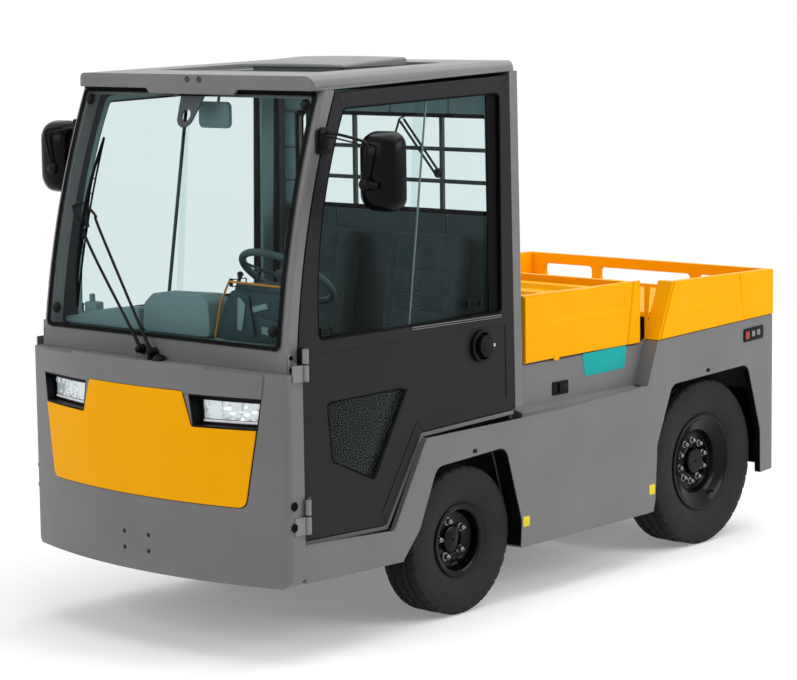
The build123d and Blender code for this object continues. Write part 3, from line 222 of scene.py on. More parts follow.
lamp_red = paint("lamp_red", srgb(150, 12, 16), rough=0.2, edge=0, shine=0.5)
lamp_amber = paint("lamp_amber", srgb(215, 100, 10), rough=0.2, edge=0, shine=0.5)
lamp_clear = paint("lamp_clear", srgb(110, 114, 118), rough=0.15, edge=0, shine=0.6)
lens_cover = clear_glass("lamp_cover", (0.97, 0.98, 0.98))
glass = clear_glass("cab_glass", (0.915, 0.955, 0.955), 0.45)
door_glass = clear_glass("door_glass", (0.905, 0.945, 0.944))
lower_glass = paint("dark_glass", srgb(22, 27, 26), rough=0.14, edge=0, shine=0.1)
grip_grey = paint("wheel_grip", srgb(62, 80, 80), rough=0.5, shine=0.12)
nut_steel = paint("nut_steel", srgb(132, 132, 129), rough=0.24, metallic=0.9)
divider = paint("pane_edge", srgb(84, 104, 103), rough=0.3, edge=0, shine=0.2)
# The headlamp reflector glows faintly: painted light for its bright reflections
feed(reflector.node_tree, reflector.node_tree.nodes["Principled BSDF"],
     {"Emission Color": (0.9, 0.95, 1.0, 1), "Emission Strength": 0.22})

by_node = (
    (grey, ["front_apron", "skirt_left", "skirt_right", "cab_frame", "cab_back_wall", "roof", "roof_cover",
            "rear_panel", "door_sills"]),
    (zinc, ["hinge_brackets"]),
    (dark_grey, ["window_guard"]),
    (yellow, ["nose_panel", "hood", "rear_cover"]),
    (anthracite, ["door_left", "door_right"]),
    (chassis_black, ["chassis_frame", "front_axle", "knuckle_left", "knuckle_right", "tie_rod", "drive_axle",
                     "seat_pedestals", "tow_coupling", "battery"]),
    (black_plastic, ["arch_liners", "steering_column", "mirror_left", "mirror_right", "cab_floor",
                     "lamp_bezels"]),
    (dash_teal, ["dashboard"]),
    (glass, ["windscreen", "rear_window"]),
    (door_glass, ["door_glass_left", "door_glass_right"]),
    (lamp_red, ["tail_lamps"]),
    (cast, ["drive_motor"]),
    (steel, ["coupling_pin"]),
)
for material, names in by_node:
    for name in names:
        nodes[name].data.materials.clear()
        nodes[name].data.materials.append(material)


# Outlines in two dimensions
def circle_through(a, b, c):
    """Centre and radius of the circle through three points."""
    (ax, ay), (bx, by), (cx, cy) = a, b, c
    d = 2 * (ax * (by - cy) + bx * (cy - ay) + cx * (ay - by))
    aa, bb, cc = ax * ax + ay * ay, bx * bx + by * by, cx * cx + cy * cy
    x = (aa * (by - cy) + bb * (cy - ay) + cc * (ay - by)) / d
    y = (aa * (cx - bx) + bb * (ax - cx) + cc * (bx - ax)) / d
    return x, y, hypot(ax - x, ay - y)


def arc_through(a, middle, b, count=14):
    x, y, r = circle_through(a, middle, b)
    start, mid, end = (atan2(p[1] - y, p[0] - x) for p in (a, middle, b))
    sweep = (end - start) % tau
    if (mid - start) % tau > sweep:
        sweep -= tau
    return [(x + r * cos(start + sweep * k / count), y + r * sin(start + sweep * k / count))
            for k in range(count + 1)]


def rounded(points, r, steps=4):
    """Outline with its corners rounded; corners of an arc's chords are left."""
    least_turn = radians(12)
    out = []
    for k, corner in enumerate(points):
        p = Vector(corner)
        a, b = Vector(points[k - 1]) - p, Vector(points[(k + 1) % len(points)]) - p
        inside = a.angle(b)
        if pi - inside < least_turn or r <= 0:
            out.append(tuple(p))
            continue
        reach = min(r / tan(inside / 2), 0.48 * a.length, 0.48 * b.length)
        a.normalize()
        b.normalize()
        centre = p + (a + b).normalized() * (reach / cos(inside / 2))
        first, last = p + a * reach - centre, p + b * reach - centre
        turn = first.angle(last)
        for step in range(steps + 1):
            t = step / steps
            out.append(tuple(
                centre + (first * sin((1 - t) * turn) + last * sin(t * turn)) / sin(turn)))
    return out


def inset(points, d):
    """Outline moved inwards by d."""
    following = points[1:] + points[:1]
    area = sum(a[0] * b[1] - b[0] * a[1] for a, b in zip(points, following))
    lines = []
    for a, b in zip(points, following):
        along = (Vector(b) - Vector(a)).normalized()
        inward = Vector((-along.y, along.x)) * copysign(1, area)
        lines.append((Vector(a) + inward * d, along))
    out = []
    for (p, u), (q, v) in zip(lines[-1:] + lines[:-1], lines):
        cross = u.x * v.y - u.y * v.x
        t = ((q - p).x * v.y - (q - p).y * v.x) / cross if abs(cross) > 1e-6 else 0
        out.append(tuple(p + u * t) if t else tuple(q))
    return out


def dense(points, count):
    """Outline with each side cut into count runs."""
    out = []
    for a, b in zip(points, points[1:] + points[:1]):
        out += [(a[0] + (b[0] - a[0]) * k / count, a[1] + (b[1] - a[1]) * k / count) for k in range(count)]
    return out


def box(x0, x1, z0, z1, r=0, steps=4):
    """Upright rectangle, with rounded corners where r is given."""
    corners = [(x0, z0), (x1, z0), (x1, z1), (x0, z1)]
    return rounded(corners, r, steps) if r else corners


def disc_outline(x, z, r, count=28):
    turns = [tau * k / count for k in range(count)]
    return [(x + r * cos(turn), z + r * sin(turn)) for turn in turns]


def above(line, lowest):
    """The part of an open line above a height, cut off at it."""
    out = []
    for (ax, az), (bx, bz) in zip(line, line[1:]):
        if (az > lowest) != (bz > lowest):
            out.append((ax + (bx - ax) * (lowest - az) / (bz - az), lowest))
        if bz > lowest:
            out.append((bx, bz))
    return out


# Wheel arches of the body sides: outline as station and height, the skirt's foot there, and the lip's depth
front_arch = [(-401, 100), (-401, 287), (-301, 394), (-196, 622), (222, 641), (319, 330), (305, 100)]
rear_arch = [(wheelbase + s, z) for s, z in (
    (-470, 100), (-424, 268), (-410, 504), (-300, 752), (275, 772), (376, 464), (382, 100))]
arches = ((front_arch, 226, 72), (rear_arch, 272, 29))


# Places: each gives the point for two outline coordinates and a distance out of the surface
def on_cab(side):
    return lambda s, z, out: at(side * (cab_x - cab_lean * (z - cab_lean_foot) + out), s, z)


def on_side(side, x):
    return lambda s, z, out: at(side * (x + out), s, z)


screen_x, screen_z, screen_r = circle_through((-985, 1149), (-907, 1600), (-754, 2082))


def on_screen(x, z, out):
    return at(x, screen_x - sqrt(screen_r**2 - (z - screen_z) ** 2) - out, z)


def on_nose(x, z, out):
    return at(x, nose + nose_r - sqrt(nose_r**2 - x**2) - out, z)


def on_front(station):
    return lambda x, z, out: at(x, station - out, z)


def on_back(station):
    return lambda x, z, out: at(x, station + out, z)


def on_level(height):
    return lambda x, s, out: at(x, s, height + out)


# Forms, added to the shape under construction
shape = bmesh.new()


def bridge(one, two):
    """Faces between two closed loops; corners that share a point count once."""
    for k, corner in enumerate(one):
        after = (k + 1) % len(one)
        corners = []
        for vert in (corner, one[after], two[after], two[k]):
            if vert not in corners:
                corners.append(vert)
        if len(corners) > 2:
            shape.faces.new(corners)


def add_loop(outline, place, out):
    return [shape.verts.new(place(a, b, out)) for a, b in outline]


def add_prism(outline, place, low, high):
    rows = [add_loop(outline, place, out) for out in (low, high)]
    bridge(*rows)
    for row in rows:
        shape.faces.new(row)


def add_ring(outer, inner, place, low, high):
    loops = [add_loop(line, place, out)
             for line, out in ((outer, low), (outer, high), (inner, high), (inner, low))]
    for one, two in zip(loops, loops[1:] + loops[:1]):
        bridge(one, two)


def add_slab(grid, place, back):
    """Closed slab from rows of (a, b, out) points, with a flat back at one distance."""
    face = [[shape.verts.new(place(*p)) for p in row] for row in grid]
    rear = [[shape.verts.new(place(p[0], p[1], back)) for p in row] for row in grid]
    rows, columns = len(grid), len(grid[0])
    for i in range(rows - 1):
        for j in range(columns - 1):
            shape.faces.new((face[i][j], face[i][j + 1], face[i + 1][j + 1], face[i + 1][j]))
            shape.faces.new((rear[i][j], rear[i + 1][j], rear[i + 1][j + 1], rear[i][j + 1]))
    rim = [(0, j) for j in range(columns)] + [(i, columns - 1) for i in range(1, rows)]
    rim += [(rows - 1, j) for j in range(columns - 2, -1, -1)] + [(i, 0) for i in range(rows - 2, 0, -1)]
    for (i, j), (m, n) in zip(rim, rim[1:] + rim[:1]):
        shape.faces.new((face[i][j], rear[i][j], rear[m][n], face[m][n]))


def add_tube(points, radius, sides=10, closed=False, flat=1.0, across=None):
    """Tube along points; flat squeezes it along the second of its two cross directions."""
    count = len(points)
    normal = None
    rings = []
    for k, p in enumerate(points):
        before = points[k - 1] if k or closed else points[0]
        after = points[(k + 1) % count] if k < count - 1 or closed else points[-1]
        tangent = (after - before).normalized()
        if normal is None:
            normal = Vector(across) if across else tangent.orthogonal()
        normal = (normal - tangent * normal.dot(tangent)).normalized()
        other = tangent.cross(normal)
        r = radius[k] if isinstance(radius, list) else radius
        ring = []
        for j in range(sides):
            turn = tau * j / sides
            spread = normal * cos(turn) + other * flat * sin(turn)
            ring.append(shape.verts.new(p + spread * r / 1000))
        rings.append(ring)
    for one, two in zip(rings, rings[1:]):
        bridge(one, two)
    if closed:
        bridge(rings[-1], rings[0])
    else:
        shape.faces.new(rings[0])
        shape.faces.new(rings[-1])


def add_lathe(profile, origin, axis, steps=24, closed=False, phase=0.0):
    """Turns (radius, height) points in millimetres about an axis."""
    axis = Vector(axis).normalized()
    first = Vector((0, 1, 0)) if abs(axis.y) < 0.9 else Vector((1, 0, 0))
    first = (first - axis * first.dot(axis)).normalized()
    second = axis.cross(first)
    rings = []
    for r, h in profile:
        centre = origin + axis * (h / 1000)
        if r < 1e-6:
            rings.append([shape.verts.new(centre)] * steps)
            continue
        rings.append([
            shape.verts.new(centre + (first * cos(phase + tau * k / steps)
                                      + second * sin(phase + tau * k / steps)) * (r / 1000))
            for k in range(steps)])
    pairs = list(zip(rings, rings[1:]))
    if closed:
        pairs.append((rings[-1], rings[0]))
    for one, two in pairs:
        bridge(one, two)


def add_bolt(origin, axis, r, h):
    """Washer and domed hexagon head."""
    add_lathe([(0, 0), (1.45 * r, 0), (1.4 * r, 0.2 * h), (0, 0.2 * h)], origin, axis, 18)
    add_lathe([(r, 0.2 * h), (r, 0.85 * h), (0.8 * r, h), (0, h)], origin, axis, 6)
    add_lathe([(0.45 * r, 0.9 * h), (0.42 * r, 1.2 * h), (0, 1.25 * h)], origin, axis, 12)


def finish(name, material, bevel=0.0, segments=2, angle=32, body="chassis"):
    """Makes the shape a piece of the scene and empties it for the next one."""
    bmesh.ops.recalc_face_normals(shape, faces=shape.faces)
    if bevel:
        least = radians(angle)
        sharp = [e for e in shape.edges if len(e.link_faces) == 2 and e.calc_face_angle(0) > least]
        bmesh.ops.bevel(shape, geom=sharp, offset=bevel / 1000, segments=segments, profile=0.6,
                        affect="EDGES", clamp_overlap=True)
    mesh = bpy.data.meshes.new(name)
    shape.to_mesh(mesh)
    shape.clear()
    mesh.shade_smooth()
    mesh.set_sharp_from_angle(angle=radians(angle))
    mesh.materials.append(material)
    piece = bpy.data.objects.new(name, mesh)
    scene.collection.objects.link(piece)
    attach(piece, body)
    return piece


def plates(name, material, shapes, bevel=0.0, body="chassis"):
    """One piece of several prisms: each is (outline, place, low, high)."""
    for prism in shapes:
        add_prism(*prism)
    return finish(name, material, bevel, body=body)


def smooth_path(points, per=6):
    """Points on a smooth line through the given ones."""
    out = []
    for k in range(len(points) - 1):
        p0, p1 = points[max(k - 1, 0)], points[k]
        p2, p3 = points[k + 1], points[min(k + 2, len(points) - 1)]
        for step in range(per):
            t = step / per
            out.append(0.5 * (2 * p1 + (p2 - p0) * t + (2 * p0 - 5 * p1 + 4 * p2 - p3) * t * t
                              + (3 * p1 - p0 - 3 * p2 + p3) * t**3))
    return out + [points[-1]]


sides = (("left", 1), ("right", -1))

# Wheels: tyre with rings and a zigzag rib tread, dished rim and nuts
wheel_face = 637
tread_step = (0.0, 0.06, 0.17, 0.23, 0.5, 0.75)
wheels = (
    # end, station, tyre radius, half width, rim radius, flange radius, tread periods, rim face,
    # bore as radius and depths, nuts as count, pitch radius, depth, height, radius and first angle
    ("front", 0, 295, 87.5, 127, 145, 32,
     ((145, 637), (141, 639), (130, 637), (122, 633), (119, 626), (117, 600), (111, 589), (103, 584),
      (58, 584), (55, 588), (52, 601), (48, 604), (0, 604)),
     (24, 574, 592), (5, 73.5, 584, 24, 12.5, 30)),
    ("rear", wheelbase, 365, 97.5, 190, 211, 36,
     ((211, 637), (207, 639), (197, 637), (190, 631), (182, 627), (150, 617), (140, 613), (135, 605),
      (132, 586), (126, 578), (64, 578), (59, 582), (56, 600), (52, 606), (0, 606)),
     (37, 572, 602), (10, 91, 578, 20, 11.5, 14)),
)


def make_wheel(name, side, station, tyre_r, half, rim_r, flange_r, periods, face, bore, nut_row):
    body = f"wheel_{name}"
    bead = half - 24
    centre = at(side * (wheel_face - 6 - bead), station, tyre_r)
    side_r = flange_r + (tyre_r - flange_r) * 0.42
    wall = arc_through((flange_r + 2, bead), (side_r, half), (tyre_r - 16, half - 4), 16)
    ribs = {2: 1.6, 3: 0.2, 4: 1.2, 11: -1.0, 12: 1.0, 14: 1.4, 15: -0.8}
    wall = [(r, h + ribs.get(k, 0) - 1.6) for k, (r, h) in enumerate(wall)]
    tread_half = half - 16
    columns = [(rim_r + 1, bead - 2, 0)] + [(r, h, 0) for r, h in wall] + [(tyre_r - 8, half - 8, 2)]
    columns.append((tyre_r - 1.5, tread_half, 2))
    for groove in (0.56, 0.0, -0.56):
        mid = groove * tread_half
        for offset, depth in ((8, 1), (5, 9), (-5, 9), (-8, 1)):
            columns.append((tyre_r - depth + 1 - (1.5 if groove else 0), mid + offset, 1))
    columns.append((tyre_r - 1.5, -tread_half, 2))
    columns.append((tyre_r - 8, 8 - half, 2))
    columns += [(r, -h, 0) for r, h in reversed(wall)] + [(rim_r + 1, 2 - bead, 0)]
    rows = []
    for period in range(periods):
        for k, step in enumerate(tread_step):
            turn = tau * (period + step) / periods
            zig = 4 if k < 4 else -4
            notch = 5 if k in (1, 2) else 0
            row = []
            for r, h, kind in columns:
                shift = zig if kind == 1 else 0
                drop = notch if kind == 2 else 0
                row.append(shape.verts.new(centre + Vector((
                    side * (h + shift) / 1000, cos(turn) * (r - drop) / 1000,
                    sin(turn) * (r - drop) / 1000))))
            rows.append(row)
    for one, two in zip(rows, rows[1:] + rows[:1]):
        for a, b, c, d in zip(one, one[1:], two[1:], two):
            shape.faces.new((a, b, c, d))
        shape.faces.new((one[-1], one[0], two[0], two[-1]))
    tyre = finish(f"tread_tyre_{name}", rubber, angle=28, body=body)
    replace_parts(tyre, f"tyre_{name}")
    axle = at(0, station, tyre_r)
    outward = (side, 0, 0)
    back = centre.x * 1000 * side - bead
    profile = list(face) + [(0, bore[2]), (bore[0], bore[2]), (bore[0], bore[1]), (face[-6][0] - 2, bore[1])]
    profile += [(rim_r - 14, bore[1]), (rim_r - 8, bore[1] - 8), (rim_r - 8, back - 4)]
    profile += [(flange_r - 3, back - 6), (flange_r, back - 6), (flange_r, back - 1), (rim_r, back)]
    profile += [(rim_r, wheel_face - 7), (flange_r, wheel_face - 6)]
    add_lathe(profile, axle, outward, 72, closed=True)
    rim = finish(f"dished_rim_{name}", rim_black, angle=40, body=body)
    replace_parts(rim, f"rim_{name}")
    count, pitch, root, height, size, start = nut_row
    for k in range(count):
        turn = radians(start + 360 * k / count)
        place = at(side * root, station + pitch * cos(turn), tyre_r + pitch * sin(turn))
        add_bolt(place, outward, size, height)
    finish(f"wheel_nuts_{name}", nut_steel, 0.4, 1, body=body)
    add_lathe([(0, face[-1][1] - 1), (6, face[-1][1] - 1), (6, face[-1][1] + 1), (0, face[-1][1] + 2)],
              axle, outward, 16)
    valve = at(side * (face[5][1] - 8), station + (rim_r - 22) * 0.5, tyre_r - (rim_r - 22) * 0.86)
    add_lathe([(0, 0), (4, 0), (4, 26), (5, 27), (5, 34), (0, 35)], valve, outward, 10)
    finish(f"hub_cap_{name}", seal_black, body=body)


for end, station, *rest in wheels:
    for word, side in sides:
        make_wheel(f"{end}_{word}", side, station, *rest)

# Windscreen: seal, clamps, lifting plate and a long wiper on two parallel arms
screen_outline = [(-635, 1154), (635, 1154), (626, 2076), (-626, 2076)]
outer = dense(rounded(screen_outline, 24), 8)
inner = dense(rounded(inset(screen_outline, 15), 12), 8)
add_ring(outer, inner, on_screen, 0.2, 3)
finish("screen_seal", seal_black)
for x, z in ((-578, 2030), (586, 2029), (-582, 1226), (596, 1222)):
    place = on_screen(x, z, 0)
    add_lathe([(0, 0), (22, 0), (22, 5), (17, 8), (14, 14), (9, 16), (0, 16)], place, (0, -1, 0.18), 20)
finish("screen_clamps", black_plastic, 0.6)

plate_outline = [(-66, 2056), (62, 2056), (34, 1978), (22, 1950), (0, 1935), (-24, 1934), (-44, 1944),
                 (-56, 1962)]
eye_x, eye_z, eye_r = -12, 1979, 23
outer = dense(plate_outline, 3)
turns = [atan2(b - eye_z, a - eye_x) for a, b in outer]
inner = [(eye_x + eye_r * cos(t), eye_z + eye_r * sin(t)) for t in turns]
add_ring(outer, inner, on_screen, 5, 11)
finish("lifting_plate", dark_grey, 0.8)
plates("header_strip", seal_black, [(box(-70, 72, 2052, 2061), on_screen, 3, 14)], 1.0)

blade_low, blade_high = 1236, 1886


def on_blade(share, left, out):
    """Point up the blade: share from foot to head, pushed left and out of the glass."""
    z = blade_low + (blade_high - blade_low) * share
    return on_screen(-463 + 14 * share - left + 0.87 * out, z, out)


# The wiper's beam and the bows under it, by share of the blade and by rise from 0 to 1
def on_beam(share, rise):
    return on_blade(share, 4 + 20 * rise, 6 + 26 * rise)


def on_bow(share, rise):
    return on_blade(share, 3 + 12 * rise, 5 + 12 * rise)


add_tube([on_blade(k / 16, 0, 3.4) for k in range(17)], 4.0, 6)
rises = [sin(pi * k / 20) for k in range(21)]
add_tube([on_beam(k / 20, rise) for k, rise in enumerate(rises)], [3.0 + 5.0 * rise for rise in rises],
         8, flat=0.7)
for start, end in ((0.06, 0.5), (0.5, 0.94)):
    bow = [start + (end - start) * k / 10 for k in range(11)]
    rises = [sin(pi * k / 10) for k in range(11)]
    add_tube([on_bow(share, rise) for share, rise in zip(bow, rises)], 3.4, 6)
    for k in range(2, 9, 2):
        share, hung = bow[k], on_bow(bow[k], rises[k])
        add_tube([on_blade(share - 0.01, 0, 4), hung], 2.6, 6)
        add_tube([hung, on_beam(share + 0.02, sin(pi * share))], 2.2, 6)
finish("wiper_blade", seal_black)
arm_table = (
    # pivot x, height; then points (x, height, out) up the arm
    (-92, 1104, ((-74, 1112, 22), (-124, 1180, 26), (-370, 1445, 28), (-528, 1622, 26))),
    (-25, 1096, ((-8, 1104, 22), (-64, 1178, 26), (-360, 1548, 28), (-386, 1590, 28), (-461, 1634, 26))),
)
for x, z, route in arm_table:
    points = smooth_path([on_screen(*p) for p in route], 5)
    add_tube(points, [9.0 - 3.5 * min(1, k / 6) for k in range(len(points))], 8, flat=0.6)
    add_lathe([(0, 0), (19, 0), (19, 10), (13, 16), (13, 30), (9, 34), (0, 34)],
              at(x, -979, z), (0, -1, 0), 18)
    add_tube([at(x, -1008, z), on_screen(*route[0])], 7.5, 8)
link = [on_screen(*p) for p in ((-528, 1622, 26), (-461, 1634, 26), (-432, 1560, 24), (-487, 1560, 26))]
add_tube(smooth_path(link + link[:1], 3), 5.0, 8)
add_tube([on_screen(-446, 1590, 26), on_screen(-432, 1545, 20)], 8, 8)
finish("wiper_arms", black_plastic)
add_lathe([(0, 0), (26, 0), (26, 8), (20, 14), (12, 22), (0, 24)], at(20, -1004, 1072), (0, -0.4, 1), 20)
add_lathe([(0, 0), (16, 0), (14, 12), (0, 14)], at(-22, -1004, 1072), (0, -0.3, 1), 16)
finish("washer_cap", black_plastic, 0.5)


# Nose panel with rounded corners, over a thin dark joint
def along(line, x):
    """Height of a line of points, ordered by x, at x."""
    for (ax, az), (bx, bz) in zip(line, line[1:]):
        if x <= bx:
            return az + (bz - az) * (x - ax) / (bx - ax)
    return line[-1][1]


nose_half = [(0, 579), (522, 579), (571, 866), (295, 861), (252, 991), (0, 991)]
nose_edge = 571
last_column = 570.4
low_corner = [p for p in rounded(nose_half, 34, 6) if p[0] > 100 and p[1] < 640]
low_line = [(0, 579)] + sorted(low_corner) + [(nose_edge, 866)]
high_line = [(0, 991), (247, 991), (251, 990), (254, 986), (292, 868), (295, 864), (300, 862),
             (nose_edge, 866)]
columns = {round(last_column * k / 36, 2) for k in range(37)} | {x for x, _ in low_line + high_line}
columns = sorted(x for x in columns if x <= last_column)
columns = [-x for x in reversed(columns) if x > 0] + columns


def add_nose(margin, low_out, high_out):
    """Bowed panel, wider all round by the margin, between two distances from the nose."""
    grid = []
    for share in (0.0, 0.02, 0.25, 0.5, 0.75, 0.98, 1.0):
        row = []
        for x in columns:
            low = along(low_line, abs(x)) - margin
            high = along(high_line, abs(x)) + margin
            row.append((x * (1 + margin / nose_edge), low + (high - low) * share, high_out))
        grid.append(row)
    add_slab(grid, on_nose, low_out)


add_nose(3, -4.9, -3.8)
finish("nose_joint", seal_black, angle=40)
add_nose(0, -4.7, 0.0)
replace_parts(finish("nose_cover", yellow, 1.2, angle=40), "nose_panel")

# Headlamps: faceted reflector with a faint painted glow, fins, a bright bar and a clear cover
random.seed(7)
lens = ((308, 957), (571, 957), (562, 880), (313, 876))


def on_quad(u, v):
    """Point of the lens outline, u across from the inner end and v up from the foot."""
    (ax, az), (bx, bz), (cx, cz), (dx, dz) = lens
    low = (dx + (cx - dx) * u, dz + (cz - dz) * u)
    high = (ax + (bx - ax) * u, az + (bz - az) * u)
    return (low[0] + (high[0] - low[0]) * v, low[1] + (high[1] - low[1]) * v)


def on_lens(side, u, v, out):
    """Place for a point of the lens outline, on the nose's left or right."""
    x, z = on_quad(u, v)
    return on_nose(side * x, z, out)


lamp_floor = -53
cover_back = -46
dull_columns = 9
facets = [[random.uniform(0, 6.5) for _ in range(27)] for _ in range(8)]
for word, side in sides:
    grid = []
    for j, row in enumerate(facets):
        line = []
        for i, depth in enumerate(row):
            x, z = on_quad(i / 26, 0.16 + 0.84 * j / 7)
            relief = 0.35 if i < dull_columns else 1.0
            line.append((side * x, z, lamp_floor + relief * depth))
        grid.append(line)
    add_slab(grid, on_nose, lamp_floor - 0.6)
    base = finish(f"lamp_reflector_{word}", reflector, angle=3)
    if side > 0:
        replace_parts(base, "headlamps")
    add_tube([on_lens(side, k / 12, 0.07, -49) for k in range(13)], 5.0, 8)
    for share in (0.33, 0.36, 0.62):
        add_tube([on_lens(side, share, 0.16, -50), on_lens(side, share + 0.03, 0.98, -50)], 2.2, 6)
    finish(f"lamp_bar_{word}", light_bar)
    grid = []
    for j in range(3):
        corners = [on_quad(i / 10, j / 2) for i in range(11)]
        grid.append([(side * x, z, cover_back + 1) for x, z in corners])
    add_slab(grid, on_nose, cover_back)
    finish(f"lamp_cover_{word}", lens_cover)

# Roof fittings
for x, z in ((-16, 2115), (48, 2115)):
    add_lathe([(0, 0), (12, 0), (12, 2), (9.5, 2.6), (9, 1), (0, 1)], at(x, -790, z), (0, -1, 0), 18)
finish("fascia_bolts", dark_grey)
recess_floor = 2129
# The hatch takes the shaded trim colour: painted shade in the roof's recess
add_prism(box(-330, 318, -505, -200, 60, 6), on_level(recess_floor), 0.2, 1.5)
finish("roof_hatch", trim_teal_shaded, 0.5)
roof_top = 2187
lid_middle = 16
lid_half = 278
grid = []
for s, top in ((-262, 2150), (-258, 2156), (-180, 2162), (-60, 2170), (60, 2176), (106, 2177), (110, 2170)):
    row = []
    for x in (-262, -256, -180, -90, 0, 60, 90, 130, 180, 230, 288, 294):
        crown = 3 * (1 - ((x - lid_middle) / lid_half) ** 2)
        bump = 7 * exp(-(((x - 120) / 90) ** 4) - ((s + 20) / 75) ** 4)
        fall = 6 if abs(x - lid_middle) > 274 else 0
        row.append((x, s, min(roof_top, top + crown + bump - fall)))
    grid.append(row)
add_slab(grid, on_level(0), 2146)
add_prism(box(-235, 265, -236, 96, 30), on_level(recess_floor), 0, 20)
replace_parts(finish("roof_lid", grey, 1.0, 2, 25), "roof_cover")
plates("roof_seal", seal_black, [
    (box(-622, -256, 2072, 2078), on_front(-762), 0, 6),
    (box(256, 622, 2072, 2078), on_front(-762), 0, 6)], 1.0)

# Doors: seals, sliding pane bar, latches, handle, hinge bolts, mirror glass and inner trim
upper = arc_through((-808, 1176), (-775, 1612), (-644, 2014)) + [(252, 2038), (240, 1173)]
lower = [(-752, 721), (-524, 619), (-325, 947), (-773, 943)]
handle_s, handle_z = 109, 1055
cup_floor = -2.7
pane_back = -19.9
hinge_leaves = ((1044, 1164), (485, 614))
hinge_x = 707
leaf_x = 680
leaf_thick = 1.6
mirror_half_w, mirror_half_h, mirror_corner = 84, 145, 54
for word, side in sides:
    body = f"door_{word}"
    cab = on_cab(side)
    add_ring(rounded(inset(upper, -2), 24), rounded(inset(upper, 3), 19), cab, -0.3, 1.0)
    add_ring(rounded(inset(upper, 0.3), 22), rounded(inset(upper, 5), 17), cab, -19, -0.3)
    add_ring(rounded(inset(lower, -2), 24), rounded(inset(lower, 5), 17), cab, -3.3, -1.6)
    add_prism([(185, 2034), (251, 2037), (241, 1174), (177, 1174)], cab, pane_back, -13)
    add_prism([(-326, 940), (-340, 940), (-534, 632), (-525, 622)], cab, -3.3, -1.2)
    finish(f"window_seals_{word}", seal_black, 0.5, 1, body=body)
    plates(f"lower_pane_{word}", lower_glass, [
        (rounded(inset(lower, 1), 20), cab, pane_back, -17)], 0.3, body=body)
    top_s, foot_s, wide = (-170, -298, 7) if side > 0 else (-210, -334, 13)
    # The black strip beside the bar, a little deeper, is painted shade along the bar's edge
    for name, material, start, end, front in (("edges", divider, 0, wide, -15),
                                              ("shade", seal_black, wide, wide + 3, -18)):
        plates(f"pane_{name}_{word}", material, [
            ([(top_s + start, 2027), (top_s + end, 2027), (foot_s + end, 1177), (foot_s + start, 1177)],
             cab, pane_back, front)], 0.5 if name == "edges" else 0, body=body)
    plates(f"pane_track_{word}", zinc, [
        ([(-295, 1168), (236, 1163), (236, 1166), (-295, 1171)], cab, 1.0, 2.0),
        ([(-295, 1160), (236, 1155), (236, 1157.5), (-295, 1162.5)], cab, 0.1, 1.0)], 0.3, body=body)
    for s, z, half in ((-756, 1201, 34), (86, 1222, 44)):
        add_ring(box(s - half, s + half, z - 17, z + 17, 8),
                 box(s - half + 4, s + half - 4, z - 13, z + 13, 5), cab, pane_back, -14)
        add_prism(box(s - half - 3, s - half + 9, z - 16, z + 20, 5), cab, -16, -4)
    finish(f"pane_grips_{word}", black_plastic, 1.0, body=body)
    # Mitre joints of the door's frame
    for a, b in (((-683, 2067), (-650, 2020)), ((305, 2100), (256, 2044)), ((304, 785), (256, 830)),
                 ((-914, 458), (-880, 500)), ((-468, 444), (-490, 486)), ((-257, 768), (-275, 812))):
        out_way = (Vector(b) - Vector(a)).normalized()
        across = Vector((-out_way.y, out_way.x)) * 0.9
        ends = (Vector(a) + across, Vector(b) + across, Vector(b) - across, Vector(a) - across)
        add_prism([tuple(p) for p in ends], cab, 0.05, 0.3)
    finish(f"door_mitres_{word}", seal_black, body=body)
    # Handle: ring, floor of the cup and a paddle with one straight side
    cup = disc_outline(handle_s, handle_z, 53, 48)
    add_ring(disc_outline(handle_s, handle_z, 64, 48), cup, cab, cup_floor, 14)
    add_prism(cup, cab, cup_floor, -1)
    paddle = disc_outline(handle_s + 12, handle_z, 44, 40)
    add_prism([(min(a, handle_s + 46), b) for a, b in paddle], cab, 4, 24)
    grip = finish(f"handle_cup_{word}", black_plastic, 2.5, body=body)
    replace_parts(grip, f"door_handle_{word}")
    lock = cab(handle_s + 62, handle_z - 2, 14)
    add_lathe([(0, -10), (7, -10), (7, 3), (5.5, 4), (1.5, 4), (1.5, 2), (0, 2)], lock, (side, 0, 0), 18)
    finish(f"key_lock_{word}", steel, body=body)
    # Hinge leaves' bolts on the door, and plates and bolts on the body
    for low, high in hinge_leaves:
        add_prism(box(-909, -885, low + 4, high - 4, 4), on_side(side, leaf_x), 0.1, leaf_thick)
    finish(f"leaf_plates_{word}", zinc, 0.4, body=body)
    for s, z in ((-897, 1146), (-897, 1070), (-897, 594), (-897, 512)):
        add_bolt(at(side * (leaf_x + 1.5), s, z), (side, 0, 0), 6, 6)
    finish(f"leaf_bolts_{word}", seal_black, body=body)
    for low, high in hinge_leaves:
        for share in (0.0, 0.52):
            length = (high - low) * 0.46
            add_lathe([(0, 0), (10, 0), (12.2, 2), (12.2, length - 2), (10, length), (0, length)],
                      at(side * hinge_x, -926, low + 2 + share * (high - low)), (0, 0, 1), 20)
    finish(f"hinge_knuckles_{word}", zinc)
    add_prism(box(-976, -931, 1066, 1142, 5), cab, 0.1, 4)
    finish(f"hinge_plate_{word}", zinc, 1.0)
    for z in (1086, 1130):
        add_bolt(cab(-962, z, 4), (side, 0, 0), 6.5, 6)
    for z in (516, 594):
        head = at(side * skirt_x, -984, z)
        add_lathe([(0, 0), (17, 0), (17, 2), (13, 6), (5, 7), (0, 7)], head, (side, 0, 0), 20)
        add_lathe([(0, 7), (6, 7), (5, 9), (0, 9)], head, (side, 0, 0), 6)
    finish(f"body_bolts_{word}", seal_black)
    # Mirror: smooth shell, turned outwards on the near side, its face, the bent arm, knob and clamp
    turn = radians(12 if side > 0 else 0)
    middle_x, middle_s, middle_z = (864, -684, 1790) if side > 0 else (870, -702, 1790)

